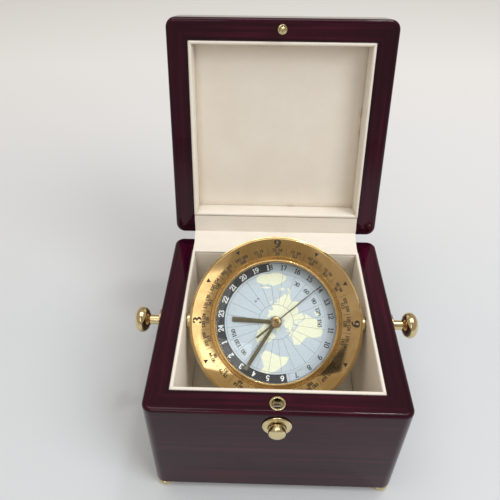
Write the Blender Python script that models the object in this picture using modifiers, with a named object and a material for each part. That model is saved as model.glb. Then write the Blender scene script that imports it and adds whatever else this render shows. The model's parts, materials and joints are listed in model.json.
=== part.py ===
"""Ship's deck clock: a world-time clock head tilting on two trunnions in a lacquered box with a hinged lid.

Metres, +Z up.  The origin is the middle of the box's underside, which the feet hold off the table, and the
front faces -Y.  The lid stands open and the clock head is tilted towards the front.
"""

from math import cos, pi, radians, sin

import bmesh
import bpy

MM = 0.001
GAP = 0.3 * MM

# Driving dimensions of the box and the lid
BOX_SIDE = 140 * MM
BOX_HEIGHT = 76.5 * MM
LID_HEIGHT = 24 * MM
FOOT_HEIGHT = 4 * MM
WALL = 12.7 * MM
BOTTOM_THICKNESS = 5 * MM
LINING = 2 * MM
LID_OPENING = radians(103)

# Driving dimensions of the clock head
BEZEL_RADIUS = 52.5 * MM
DRUM_RADIUS = 47.5 * MM
APERTURE_RADIUS = 35.8 * MM
CLOCK_TILT = radians(42)
HOUR_HAND_ANGLE = radians(272.8)
MINUTE_HAND_ANGLE = radians(212)
SECOND_HAND_ANGLE = radians(50)

# Places worked out from them
HALF = BOX_SIDE / 2
FRONT = -HALF
RIM = BOX_HEIGHT
WELL = HALF - WALL
LINING_OUT = WELL - GAP
LINING_IN = LINING_OUT - LINING
LID_RIM = RIM + 0.6 * MM
LID_WELL = LID_RIM + 16 * MM
LINING_LIP = 0.15 * MM
CORNER = 6 * MM
EDGE = 2.2 * MM

HINGE_Y = HALF + 2.3 * MM
HINGE_Z = RIM + 0.3 * MM
KNUCKLE_RADIUS = 1.8 * MM
PIN_RADIUS = 0.9 * MM
KNUCKLES = 5
LEAF_HALF_LENGTH = 45 * MM
LEAF_THICKNESS = 0.8 * MM
LEAF_FRONT = HALF - 9 * MM
FLAP_HALF_WIDTH = 56.7 * MM
FLAP_THICKNESS = 0.6 * MM
FLAP_RECESS = 1 * MM
LEAF_RECESS = 2.1 * MM

PIVOT_Z = RIM - 9.3 * MM
BUSH_RADIUS = 4.5 * MM
BUSH_BORE = 3.06 * MM
SHANK_RADIUS = 3 * MM
SPIGOT_RADIUS = 2.5 * MM
BOSS_BORE = 2.56 * MM
BOSS_RADIUS = 5 * MM
BOSS_END = LINING_IN - 0.5 * MM
KNOB_RADIUS = 8 * MM
KNOB_HALF_THICKNESS = 4.7 * MM
KNOB_CENTRE = HALF + 12 * MM

BUTTON_Z = RIM - 10.8 * MM
SOCKET_Y = FRONT + 6.2 * MM
PLATE_TOP = RIM - 5.5 * MM
PLATE_THICKNESS = 1.2 * MM
FOOT_INSET = 5.5 * MM

BEZEL_BACK = 5.6 * MM
DRUM_BACK = -18 * MM
DIAL_PLATE_TOP = 2.7 * MM
DAY_RING_TOP = 3.4 * MM
MAP_RADIUS = 30.8 * MM
MAP_TOP = 4.2 * MM
GLASS_BACK = 9.2 * MM
MOVEMENT_SIDE = 56 * MM
MOVEMENT_FRONT = 1.6 * MM
MOVEMENT_BACK = -13.5 * MM
STACK_FOOT = 1.9 * MM
BATTERY_Y = 17 * MM
BATTERY_RADIUS = 6.9 * MM
BATTERY_HALF_LENGTH = 25 * MM
SET_KNOB = (12 * MM, -14 * MM)

# Finishes: base colour, roughness, metallic
LACQUER = ((0.040, 0.010, 0.014), 0.08, 0.0)
VELVET = ((0.030, 0.028, 0.030), 0.95, 0.0)
LEATHERETTE = ((0.68, 0.58, 0.45), 0.60, 0.0)
GOLD = ((0.86, 0.60, 0.24), 0.14, 1.0)
BRASS = ((0.80, 0.62, 0.33), 0.22, 1.0)
STEEL = ((0.62, 0.62, 0.60), 0.30, 1.0)
BRONZE = ((0.17, 0.13, 0.07), 0.40, 0.8)
GLASS = ((0.95, 0.97, 0.97), 0.02, 0.0)
MAP_BLUE = ((0.62, 0.69, 0.78), 0.50, 0.0)
RING_WHITE = ((0.72, 0.75, 0.79), 0.50, 0.0)
BLACK_PLASTIC = ((0.03, 0.03, 0.03), 0.45, 0.0)
GREY_PLASTIC = ((0.35, 0.36, 0.38), 0.50, 0.0)
CELL_WRAP = ((0.10, 0.22, 0.42), 0.35, 0.0)

TO_FRONT = (pi / 2, 0, 0)
TO_RIGHT = (0, pi / 2, 0)
TO_LEFT = (0, -pi / 2, 0)


# Tools ------------------------------------------------------------------------------------------------------

def clear_scene():
    for obj in list(bpy.data.objects):
        bpy.data.objects.remove(obj, do_unlink=True)


def new_collection(name):
    collection = bpy.data.collections.new(name)
    bpy.context.scene.collection.children.link(collection)
    return collection


def paint(obj, finish):
    """Gives the object its own Principled material."""
    colour, roughness, metallic = finish
    mat = bpy.data.materials.new(obj.name)
    mat.use_nodes = True
    shader = mat.node_tree.nodes["Principled BSDF"]
    shader.inputs["Base Color"].default_value = (*colour, 1)
    shader.inputs["Roughness"].default_value = roughness
    shader.inputs["Metallic"].default_value = metallic
    mat.diffuse_color = (*colour, 1)
    obj.data.materials.append(mat)


def place(name, mesh, finish, parent=None, location=(0, 0, 0), rotation=(0, 0, 0)):
    """Puts a mesh in the scene: as a part when it has a finish, as a hidden tool when it has none."""
    obj = bpy.data.objects.new(name, mesh)
    obj.parent = parent
    obj.location = location
    obj.rotation_euler = rotation
    if finish is None:
        TOOLS.objects.link(obj)
        obj.hide_render = True
        obj.display_type = "WIRE"
    else:
        PARTS.objects.link(obj)
        paint(obj, finish)
    return obj


def block_mesh(name, size, corner=0.0):
    """A box about its own centre, with its upright edges rounded."""
    mesh = bpy.data.meshes.new(name)
    bm = bmesh.new()
    bmesh.ops.create_cube(bm, size=1)
    for vert in bm.verts:
        vert.co = [value * length for value, length in zip(vert.co, size)]
    if corner:
        upright = [e for e in bm.edges if abs(e.verts[0].co.z - e.verts[1].co.z) > size[2] / 2]
        bmesh.ops.bevel(bm, geom=upright, offset=corner, segments=5, profile=0.5, affect="EDGES")
    bm.to_mesh(mesh)
    bm.free()
    return mesh


def block(name, low, high, finish=None, parent=None, corner=0.0, edge=0.0):
    """A box between two corner points, in the parent's frame."""
    size = [b - a for a, b in zip(low, high)]
    centre = [(a + b) / 2 for a, b in zip(low, high)]
    obj = place(name, block_mesh(name, size, corner), finish, parent, centre)
    if edge:
        bevel = obj.modifiers.new("Rounded edges", "BEVEL")
        bevel.width = edge
        bevel.segments = 3
        bevel.limit_method = "ANGLE"
        bevel.angle_limit = radians(40)
    return obj


def turned(name, profile, finish=None, parent=None, location=(0, 0, 0), rotation=(0, 0, 0), steps=24):
    """A lathe shape about its own Z, from (radius, height) points that run down its outer side."""
    mesh = bpy.data.meshes.new(name)
    points = [(radius, 0, height) for radius, height in profile]
    edges = [(i, i + 1) for i in range(len(points) - 1)]
    if profile[0][0] > 0:
        edges.append((len(points) - 1, 0))
    mesh.from_pydata(points, edges, [])
    obj = place(name, mesh, finish, parent, location, rotation)
    screw = obj.modifiers.new("Turned", "SCREW")
    screw.axis = "Z"
    screw.angle = 2 * pi
    screw.steps = steps
    screw.render_steps = steps
    screw.use_merge_vertices = True
    screw.merge_threshold = 0.00001
    return obj


def rod(name, radius, low, high, finish=None, parent=None, location=(0, 0, 0), rotation=(0, 0, 0), steps=24):
    """A plain cylinder about its own Z between two heights."""
    outline = [(0, high), (radius, high), (radius, low), (0, low)]
    return turned(name, outline, finish, parent, location, rotation, steps)


def tube(name, bore, radius, low, high, finish=None, parent=None, location=(0, 0, 0), rotation=(0, 0, 0),
         steps=24):
    """A plain ring about its own Z between two heights."""
    outline = [(bore, high), (radius, high), (radius, low), (bore, low)]
    return turned(name, outline, finish, parent, location, rotation, steps)


def combine(obj, tool, operation):
    boolean = obj.modifiers.new(tool.name, "BOOLEAN")
    boolean.operation = operation
    boolean.object = tool
    boolean.solver = "EXACT"


def cut(obj, *tools):
    for tool in tools:
        combine(obj, tool, "DIFFERENCE")


def join(obj, *tools):
    for tool in tools:
        combine(obj, tool, "UNION")


def pivot(name, location, rotation=(0, 0, 0), parent=None):
    """An empty on a joint's axis, carrying the pieces that move with it."""
    empty = bpy.data.objects.new(name, None)
    PARTS.objects.link(empty)
    empty.parent = parent
    empty.location = location
    empty.rotation_euler = rotation
    empty.empty_display_size = 0.01
    return empty


def smooth_round_faces():
    """Applies each part's modifiers, then shades it smooth up to its sharp edges."""
    depsgraph = bpy.context.evaluated_depsgraph_get()
    baked = {}
    for obj in PARTS.objects:
        if obj.type == "MESH":
            baked[obj] = bpy.data.meshes.new_from_object(obj.evaluated_get(depsgraph))
    for obj, mesh in baked.items():
        obj.modifiers.clear()
        obj.data = mesh
        mesh.name = obj.name
        mesh.shade_smooth()
        mesh.set_sharp_from_angle(angle=radians(35))


# Box --------------------------------------------------------------------------------------------------------

def box_shell():
    shell = block("box_shell", (-HALF, -HALF, 0), (HALF, HALF, RIM), LACQUER, corner=CORNER, edge=EDGE)
    well = block("cut_box_well", (-WELL, -WELL, -5 * MM), (WELL, WELL, RIM + 5 * MM))
    bushes = rod("cut_bush_holes", BUSH_RADIUS + GAP, -HALF - 5 * MM, HALF + 5 * MM,
                 location=(0, 0, PIVOT_Z), rotation=TO_RIGHT)
    pocket = block("cut_catch_pocket", (-4 * MM, FRONT - 5 * MM, BUTTON_Z - 4.4 * MM),
                   (4 * MM, FRONT + 11.6 * MM, BUTTON_Z + 6.2 * MM))
    socket = rod("cut_socket_hole", 4.6 * MM, PLATE_TOP, RIM + 5 * MM, location=(0, SOCKET_Y, 0))
    flap, leaf = back_rim_recesses("box", RIM, 1)
    cut(shell, well, bushes, pocket, socket, flap, leaf)


def back_rim_recesses(name, rim, side, parent=None, shift=0.0):
    """Cutters for the flap and the hinge leaf in a back rim; side is 1 below the rim and -1 above it."""
    cutters = []
    for label, half_width, front, depth in (("flap", LINING_OUT, LINING_IN - 0.6 * MM, FLAP_RECESS),
                                            ("leaf", LEAF_HALF_LENGTH + GAP, LEAF_FRONT - GAP, LEAF_RECESS)):
        levels = sorted((rim - side * depth, rim + side * 5 * MM))
        low = (-half_width, front - shift, levels[0])
        high = (half_width, HALF + 5 * MM - shift, levels[1])
        cutters.append(block(f"cut_{name}_{label}", low, high, parent=parent))
    return cutters


def box_bottom():
    inside = WELL - GAP
    block("box_bottom_panel", (-inside, -inside, 0), (inside, inside, BOTTOM_THICKNESS), VELVET)
    outline = [(0, 3.7 * MM), (3.8 * MM, 3.7 * MM), (4.7 * MM, 3.1 * MM), (5 * MM, 2.1 * MM),
               (4.5 * MM, 0.6 * MM), (3.4 * MM, 0), (0, 0)]
    reach = HALF - FOOT_INSET
    for number, (x, y) in enumerate(((-1, -1), (1, -1), (-1, 1), (1, 1)), start=1):
        turned(f"foot_{number}", outline, BRASS, location=(x * reach, y * reach, -FOOT_HEIGHT))


def box_lining():
    floor = BOTTOM_THICKNESS + GAP
    block("box_lining_floor", (-LINING_OUT, -LINING_OUT, floor), (LINING_OUT, LINING_OUT, floor + MM),
          LEATHERETTE)
    walls = block("box_lining_walls", (-LINING_OUT, -LINING_OUT, floor + MM + GAP),
                  (LINING_OUT, LINING_OUT, RIM + LINING_LIP), LEATHERETTE, edge=0.5 * MM)
    inside = block("cut_box_lining", (-LINING_IN, -LINING_IN, 0), (LINING_IN, LINING_IN, RIM + 5 * MM))
    bushes = rod("cut_lining_bush_holes", BUSH_RADIUS + GAP, -HALF, HALF,
                 location=(0, 0, PIVOT_Z), rotation=TO_RIGHT)
    notch = block("cut_box_lining_notch", (-HALF, LINING_IN - 0.6 * MM, RIM - FLAP_RECESS),
                  (HALF, HALF, RIM + 5 * MM))
    cut(walls, inside, bushes, notch)


def side_bushes():
    flange = HALF + GAP
    outline = [(BUSH_BORE, flange + MM), (6.2 * MM, flange + MM), (6.8 * MM, flange + 0.6 * MM),
               (6.8 * MM, flange), (BUSH_RADIUS, flange), (BUSH_RADIUS, LINING_IN + 0.1 * MM),
               (BUSH_BORE, LINING_IN + 0.1 * MM)]
    for side, turn in (("left", TO_LEFT), ("right", TO_RIGHT)):
        turned(f"side_bush_{side}", outline, BRASS, location=(0, 0, PIVOT_Z), rotation=turn, steps=32)


def catch():
    """The socket in the front rim, the button in its escutcheon, and the plate that hooks the lid's stud."""
    tube("catch_socket", 3 * MM, 4.3 * MM, PLATE_TOP + 0.5 * MM, RIM + 0.1 * MM, BRASS,
         location=(0, SOCKET_Y, 0))
    face = (0, FRONT, BUTTON_Z)
    outline = [(4.9 * MM, 1.5 * MM), (7.2 * MM, 1.5 * MM), (7.8 * MM, 0.9 * MM), (7.8 * MM, GAP),
               (4.9 * MM, GAP)]
    turned("button_escutcheon", outline, BRASS, location=face, rotation=TO_FRONT)
    outline = [(0, 6.5 * MM), (2.4 * MM, 6.4 * MM), (3.9 * MM, 6 * MM), (4.6 * MM, 5.3 * MM),
               (4.6 * MM, 1.9 * MM), (2.5 * MM, 1.9 * MM), (2.5 * MM, -0.8 * MM), (0, -0.8 * MM)]
    turned("button", outline, BRASS, location=face, rotation=TO_FRONT)

    arm_front = FRONT + 1.1 * MM
    underside = PLATE_TOP - PLATE_THICKNESS
    plate = block("catch_plate", (-3.6 * MM, arm_front, underside),
                  (3.6 * MM, arm_front + 8.6 * MM, PLATE_TOP), STEEL)
    arm = block("join_catch_arm", (-3.6 * MM, arm_front, BUTTON_Z - 2.2 * MM),
                (3.6 * MM, arm_front + MM, PLATE_TOP - 0.1 * MM))
    slot = block("cut_catch_slot", (-2.2 * MM, arm_front + 1.3 * MM, underside - MM),
                 (2.2 * MM, arm_front + 6.5 * MM, PLATE_TOP + MM))
    join(plate, arm)
    cut(plate, slot)
    catch_spring()


def catch_spring():
    turns, points_per_turn = 4, 8
    front, back = FRONT + 4.25 * MM, FRONT + 11.1 * MM
    curve = bpy.data.curves.new("catch_spring", "CURVE")
    curve.dimensions = "3D"
    curve.bevel_depth = 0.25 * MM
    curve.bevel_resolution = 2
    curve.use_fill_caps = True
    count = turns * points_per_turn + 1
    spline = curve.splines.new("POLY")
    spline.points.add(count - 1)
    for index in range(count):
        angle = 2 * pi * index / points_per_turn
        y = front + (back - front) * index / (count - 1)
        spline.points[index].co = (1.5 * MM * cos(angle), y, 1.5 * MM * sin(angle), 1)
    place("catch_spring", curve, STEEL, location=(0, 0, BUTTON_Z))


# Lid and hinge ----------------------------------------------------------------------------------------------

def hinge_leaf(name, leaf_low, leaf_high, own, parent=None, shift=(0, 0)):
    """A leaf with its own knuckles round the pin; shift takes world Y and Z to the parent's frame."""
    dy, dz = shift
    leaf = block(name, (-LEAF_HALF_LENGTH, LEAF_FRONT - dy, leaf_low - dz),
                 (LEAF_HALF_LENGTH, HALF + 0.2 * MM - dy, leaf_high - dz), BRASS, parent)
    pitch = 2 * LEAF_HALF_LENGTH / KNUCKLES
    half = pitch / 2 - 0.2 * MM
    for number in own:
        x = -LEAF_HALF_LENGTH + pitch * (number + 0.5)
        web = block(f"join_{name}_web_{number}", (x - half, HALF - MM - dy, leaf_low - dz),
                    (x + half, HINGE_Y - dy, leaf_high - dz), parent=parent)
        knuckle = rod(f"join_{name}_knuckle_{number}", KNUCKLE_RADIUS, -half, half, parent=parent,
                      location=(x, HINGE_Y - dy, HINGE_Z - dz), rotation=TO_RIGHT)
        join(leaf, web, knuckle)
    bore = rod(f"cut_{name}_bore", PIN_RADIUS + 0.06 * MM, -HALF, HALF, parent=parent,
               location=(0, HINGE_Y - dy, HINGE_Z - dz), rotation=TO_RIGHT)
    cut(leaf, bore)


def box_hinge():
    top = RIM - FLAP_RECESS
    hinge_leaf("hinge_box_leaf", top - LEAF_THICKNESS, top, (0, 2, 4))
    reach = LEAF_HALF_LENGTH + 0.5 * MM
    rod("hinge_pin", PIN_RADIUS, -reach, reach, STEEL, location=(0, HINGE_Y, HINGE_Z), rotation=TO_RIGHT)
    flap_foot = top + GAP
    block("flap_box", (-FLAP_HALF_WIDTH, LINING_IN + GAP, flap_foot),
          (FLAP_HALF_WIDTH, HALF, flap_foot + FLAP_THICKNESS), LEATHERETTE)


def lid():
    """The lid is laid out as if shut, from the hinge pin, and its pivot turns it open."""
    hinge = pivot("lid_pivot", (0, HINGE_Y, HINGE_Z), (-LID_OPENING, 0, 0))
    middle = -HINGE_Y
    rim = LID_RIM - HINGE_Z
    well = LID_WELL - HINGE_Z

    shell = block("lid_shell", (-HALF, middle - HALF, rim), (HALF, middle + HALF, rim + LID_HEIGHT),
                  LACQUER, hinge,
                  corner=CORNER, edge=EDGE)
    hollow = block("cut_lid_well", (-WELL, middle - WELL, rim - 5 * MM), (WELL, middle + WELL, well),
                   parent=hinge)
    stud_y = middle + SOCKET_Y
    seat = rod("cut_stud_seat", 3.2 * MM, rim - 5 * MM, rim + 1.5 * MM, parent=hinge, location=(0, stud_y, 0))
    flap, leaf = back_rim_recesses("lid", rim, -1, hinge, HINGE_Y)
    cut(shell, hollow, seat, flap, leaf)

    lip = rim - LINING_LIP
    walls = block("lid_lining_walls", (-LINING_OUT, middle - LINING_OUT, lip),
                  (LINING_OUT, middle + LINING_OUT, well - GAP), LEATHERETTE, hinge, edge=0.5 * MM)
    inside = block("cut_lid_lining", (-LINING_IN, middle - LINING_IN, rim - 5 * MM),
                   (LINING_IN, middle + LINING_IN, well + 5 * MM), parent=hinge)
    notch = block("cut_lid_lining_notch", (-HALF, middle + LINING_IN - 0.6 * MM, rim - 5 * MM),
                  (HALF, middle + HALF, rim + FLAP_RECESS), parent=hinge)
    cut(walls, inside, notch)
    pad = LINING_IN - GAP
    block("lid_pad", (-pad, middle - pad, well - 3 * MM), (pad, middle + pad, well - GAP), LEATHERETTE, hinge)

    head = PLATE_TOP - PLATE_THICKNESS - GAP - HINGE_Z
    outline = [(0, rim + 1.2 * MM), (2.9 * MM, rim + 1.2 * MM), (2.9 * MM, rim - 0.2 * MM),
               (1.3 * MM, rim - 0.2 * MM),
               (1.3 * MM, head), (2 * MM, head), (2 * MM, head - 0.9 * MM), (1.2 * MM, head - 1.6 * MM),
               (0, head - 1.6 * MM)]
    turned("lid_stud", outline, BRASS, hinge, (0, stud_y, 0))

    leaf_top = LID_RIM + FLAP_RECESS + LEAF_THICKNESS
    hinge_leaf("hinge_lid_leaf", leaf_top - LEAF_THICKNESS, leaf_top, (1, 3), hinge, (HINGE_Y, HINGE_Z))
    flap_top = rim + FLAP_RECESS - GAP
    block("flap_lid", (-FLAP_HALF_WIDTH, middle + LINING_IN + GAP, flap_top - FLAP_THICKNESS),
          (FLAP_HALF_WIDTH, middle + HALF, flap_top), LEATHERETTE, hinge)


# Clock head: Z is out of the dial and Y is up it, from the middle of the trunnions --------------------------

def bezel(head):
    inner = APERTURE_RADIUS + GAP
    spigot = DRUM_RADIUS - 2.2 * MM
    outline = [(inner, 8.9 * MM), (inner + 1.6 * MM, 8.9 * MM), (inner + 1.9 * MM, 8.2 * MM),
               (BEZEL_RADIUS - 1.5 * MM, 7.5 * MM), (BEZEL_RADIUS, 6.2 * MM), (BEZEL_RADIUS, BEZEL_BACK),
               (spigot, BEZEL_BACK), (spigot, DIAL_PLATE_TOP + GAP),
               (spigot - 1.7 * MM, DIAL_PLATE_TOP + GAP),
               (spigot - 1.7 * MM, 5 * MM), (inner, 5 * MM)]
    turned("bezel", outline, GOLD, head, steps=64)
    land = APERTURE_RADIUS + 1.1 * MM
    outline = [(APERTURE_RADIUS, 11.3 * MM), (APERTURE_RADIUS + 0.4 * MM, 11.7 * MM), (land, 11.7 * MM),
               (land + 0.8 * MM, 10.9 * MM), (land + 0.8 * MM, GLASS_BACK), (land, GLASS_BACK),
               (land, GLASS_BACK + 1.5 * MM), (APERTURE_RADIUS, GLASS_BACK + 1.5 * MM)]
    turned("glass_ring", outline, GOLD, head, steps=64)
    rod("glass", land - GAP, GLASS_BACK, GLASS_BACK + 1.2 * MM, GLASS, head, steps=64)


def drum(head):
    inner = DRUM_RADIUS - 1.8 * MM
    tube("drum_case", inner, DRUM_RADIUS, DRUM_BACK, BEZEL_BACK - GAP, BRASS, head, steps=48)
    top = DRUM_BACK - GAP
    outline = [(0, top), (DRUM_RADIUS, top), (DRUM_RADIUS, top - 0.9 * MM),
               (DRUM_RADIUS - 0.8 * MM, top - 1.7 * MM),
               (0, top - 1.7 * MM)]
    cover = turned("back_cover", outline, BRASS, head, steps=48)
    side = MOVEMENT_SIDE / 2 + GAP
    window = block("cut_back_window", (-side, -side, top - 5 * MM), (side, side, top + 5 * MM), parent=head)
    cut(cover, window)
    under = top - 1.7 * MM - GAP
    outline = [(0, under), (2 * MM, under), (2 * MM, under - 0.5 * MM), (1.4 * MM, under - MM),
               (0, under - MM)]
    for number in range(3):
        angle = radians(90 + 120 * number)
        spot = (43.5 * MM * cos(angle), 43.5 * MM * sin(angle), 0)
        turned(f"cover_screw_{number + 1}", outline, STEEL, head, spot, steps=16)

    outline = [(BOSS_BORE, BOSS_END), (BOSS_RADIUS - 0.4 * MM, BOSS_END), (BOSS_RADIUS, BOSS_END - 0.4 * MM),
               (BOSS_RADIUS, DRUM_RADIUS + GAP), (BOSS_BORE, DRUM_RADIUS + GAP)]
    for side_name, turn in (("left", TO_LEFT), ("right", TO_RIGHT)):
        turned(f"trunnion_boss_{side_name}", outline, BRASS, head, rotation=turn, steps=32)


def dial(head):
    hole = 3.6 * MM
    tube("dial_plate", hole, DRUM_RADIUS - 2.3 * MM, STACK_FOOT, DIAL_PLATE_TOP, GREY_PLASTIC, head, steps=32)
    tube("day_ring", hole, APERTURE_RADIUS, DIAL_PLATE_TOP + GAP, DAY_RING_TOP, RING_WHITE, head, steps=64)
    tube("map_disc", hole, MAP_RADIUS, DAY_RING_TOP + GAP, MAP_TOP, MAP_BLUE, head, steps=64)


def movement(head):
    half = MOVEMENT_SIDE / 2
    case = block("movement_case", (-half, -half, MOVEMENT_BACK), (half, half, MOVEMENT_FRONT),
                 BLACK_PLASTIC, head,
                 corner=3 * MM)
    bay_half = BATTERY_HALF_LENGTH + 1.4 * MM
    bay = block("cut_battery_bay", (-bay_half, BATTERY_Y - BATTERY_RADIUS - 0.5 * MM, MOVEMENT_BACK - 5 * MM),
                (bay_half, BATTERY_Y + BATTERY_RADIUS + 0.5 * MM, MOVEMENT_FRONT - MM), parent=head)
    spindle_end = MOVEMENT_BACK + 4.5 * MM
    hole = rod("cut_set_spindle", 2.06 * MM, MOVEMENT_BACK - 5 * MM, spindle_end + 0.5 * MM, parent=head,
               location=(*SET_KNOB, 0))
    cut(case, bay, hole)
    tube("centre_bush", 2.72 * MM, 3.3 * MM, STACK_FOOT, 4.4 * MM, BRASS, head)

    end = BATTERY_HALF_LENGTH
    outline = [(0, end), (2.6 * MM, end), (2.6 * MM, end - MM), (BATTERY_RADIUS, end - MM),
               (BATTERY_RADIUS, -end),
               (0, -end)]
    centre_z = MOVEMENT_BACK + BATTERY_RADIUS
    turned("battery", outline, CELL_WRAP, head, (0, BATTERY_Y, centre_z), TO_RIGHT)
    for name, side in (("battery_contact_left", -1), ("battery_contact_right", 1)):
        ends = sorted((side * (end + 0.5 * MM), side * (end + 0.9 * MM)))
        block(name, (ends[0], BATTERY_Y - 4 * MM, MOVEMENT_BACK + 2 * MM),
              (ends[1], BATTERY_Y + 4 * MM, MOVEMENT_FRONT - 3 * MM), STEEL, head)

    setter = pivot("set_knob_pivot", (*SET_KNOB, 0), parent=head)
    under = MOVEMENT_BACK - 0.4 * MM
    outline = [(0, spindle_end), (2 * MM, spindle_end), (2 * MM, under), (6.5 * MM, under),
               (6.5 * MM, under - 2.8 * MM), (5.9 * MM, under - 3.4 * MM), (0, under - 3.4 * MM)]
    turned("set_knob", outline, BLACK_PLASTIC, setter)


def hand(name, head, angle, hub, baton):
    """A hand: a turned hub on the dial's axis, joined to a straight baton that widens towards its tip."""
    piece = turned(name, hub, BRONZE, head, rotation=(0, 0, -angle))
    for number, (tail, tip, tail_width, tip_width, low, high) in enumerate(baton):
        bar = block(f"join_{name}_{number}", (-0.5, tail, low), (0.5, tip, high), parent=head)
        bar.rotation_euler = (0, 0, -angle)
        centre = (tail + tip) / 2
        bar.location = (centre * sin(angle), centre * cos(angle), (low + high) / 2)
        for vert in bar.data.vertices:
            vert.co.x *= tip_width if vert.co.y > 0 else tail_width
        join(piece, bar)


def hands(head):
    hub = [(1.82 * MM, 5.3 * MM), (3.4 * MM, 5.3 * MM), (3.4 * MM, 4.7 * MM), (2.6 * MM, 4.7 * MM),
           (2.6 * MM, STACK_FOOT), (1.82 * MM, STACK_FOOT)]
    hand("hour_hand", head, HOUR_HAND_ANGLE, hub,
         [(2.6 * MM, 26.3 * MM, 2.1 * MM, 2.9 * MM, 4.8 * MM, 5.2 * MM)])
    hub = [(0.82 * MM, 6.5 * MM), (2.9 * MM, 6.5 * MM), (2.9 * MM, 5.9 * MM), (1.7 * MM, 5.9 * MM),
           (1.7 * MM, STACK_FOOT), (0.82 * MM, STACK_FOOT)]
    hand("minute_hand", head, MINUTE_HAND_ANGLE, hub,
         [(1.9 * MM, 33.5 * MM, 1.7 * MM, 2.3 * MM, 6 * MM, 6.4 * MM)])
    hub = [(0, 7.5 * MM), (2.2 * MM, 7.5 * MM), (2.2 * MM, 7 * MM), (0.72 * MM, 7 * MM),
           (0.72 * MM, STACK_FOOT),
           (0, STACK_FOOT)]
    hand("second_hand", head, SECOND_HAND_ANGLE, hub,
         [(0, 32.6 * MM, 0.8 * MM, 0.6 * MM, 7.1 * MM, 7.4 * MM),
          (-15 * MM, 0, 1.4 * MM, 1.1 * MM, 7.08 * MM, 7.42 * MM)])
    outline = [(0, 8.9 * MM), (1.8 * MM, 8.8 * MM), (3 * MM, 8.5 * MM), (3.5 * MM, 7.8 * MM), (0, 7.8 * MM)]
    turned("hub_cap", outline, BRASS, head)


def clock_head():
    head = pivot("clock_pivot", (0, 0, PIVOT_Z), (CLOCK_TILT, 0, 0))
    bezel(head)
    drum(head)
    dial(head)
    movement(head)
    hands(head)


def knobs():
    """Each knob is one turned piece: its shank runs in the side bush and screws into the drum's boss."""
    outline = [(0, KNOB_CENTRE + KNOB_HALF_THICKNESS)]
    for step in range(1, 8):
        angle = radians(step * 157.5 / 7)
        outline.append((KNOB_RADIUS * sin(angle) ** 0.8, KNOB_CENTRE + KNOB_HALF_THICKNESS * cos(angle)))
    outline += [(SHANK_RADIUS, KNOB_CENTRE - KNOB_HALF_THICKNESS), (SHANK_RADIUS, BOSS_END + GAP),
                (SPIGOT_RADIUS, BOSS_END + GAP), (SPIGOT_RADIUS, DRUM_RADIUS + 0.9 * MM),
                (0, DRUM_RADIUS + 0.9 * MM)]
    for side, turn in (("left", TO_LEFT), ("right", TO_RIGHT)):
        turned(f"knob_{side}", outline, BRASS, location=(0, 0, PIVOT_Z), rotation=turn, steps=32)


clear_scene()
PARTS = new_collection("deck_clock")
TOOLS = new_collection("cutters")
box_shell()
box_bottom()
box_lining()
side_bushes()
catch()
box_hinge()
lid()
clock_head()
knobs()
smooth_round_faces()
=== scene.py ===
"""The looks of the ship's deck clock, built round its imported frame.  Metres, in the row frame, +Z up."""
import json
from math import atan2, ceil, cos, hypot, pi, radians, sin

import bmesh
import bpy
from mathutils import Matrix, Vector, noise


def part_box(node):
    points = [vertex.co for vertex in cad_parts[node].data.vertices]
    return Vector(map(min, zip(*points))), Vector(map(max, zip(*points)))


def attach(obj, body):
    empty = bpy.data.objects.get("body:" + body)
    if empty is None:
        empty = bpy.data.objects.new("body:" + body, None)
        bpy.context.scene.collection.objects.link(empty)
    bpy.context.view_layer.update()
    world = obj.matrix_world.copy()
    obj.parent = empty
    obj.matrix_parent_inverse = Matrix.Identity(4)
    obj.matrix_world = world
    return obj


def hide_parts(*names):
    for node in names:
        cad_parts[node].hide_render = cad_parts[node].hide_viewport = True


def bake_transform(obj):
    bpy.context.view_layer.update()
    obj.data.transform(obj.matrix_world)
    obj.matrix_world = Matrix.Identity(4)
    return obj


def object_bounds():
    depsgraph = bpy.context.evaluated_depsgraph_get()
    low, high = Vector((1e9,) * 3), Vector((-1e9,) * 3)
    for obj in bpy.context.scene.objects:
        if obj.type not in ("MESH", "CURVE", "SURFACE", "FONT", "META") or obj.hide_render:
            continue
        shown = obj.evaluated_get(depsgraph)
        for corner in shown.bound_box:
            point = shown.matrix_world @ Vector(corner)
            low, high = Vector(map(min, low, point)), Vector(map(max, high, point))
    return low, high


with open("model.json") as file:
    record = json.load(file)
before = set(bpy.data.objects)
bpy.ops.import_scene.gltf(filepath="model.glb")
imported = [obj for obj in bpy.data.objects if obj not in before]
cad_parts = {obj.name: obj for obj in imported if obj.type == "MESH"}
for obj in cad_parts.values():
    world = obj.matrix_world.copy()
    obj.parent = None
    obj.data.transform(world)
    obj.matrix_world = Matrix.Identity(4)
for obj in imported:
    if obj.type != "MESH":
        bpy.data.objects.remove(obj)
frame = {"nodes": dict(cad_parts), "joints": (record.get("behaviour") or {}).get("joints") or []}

MM = 0.001
CAD_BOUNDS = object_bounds()
NODES = frame["nodes"]
JOINTS = {joint["name"]: joint for joint in frame["joints"]}
SCENE = bpy.context.scene

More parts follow.
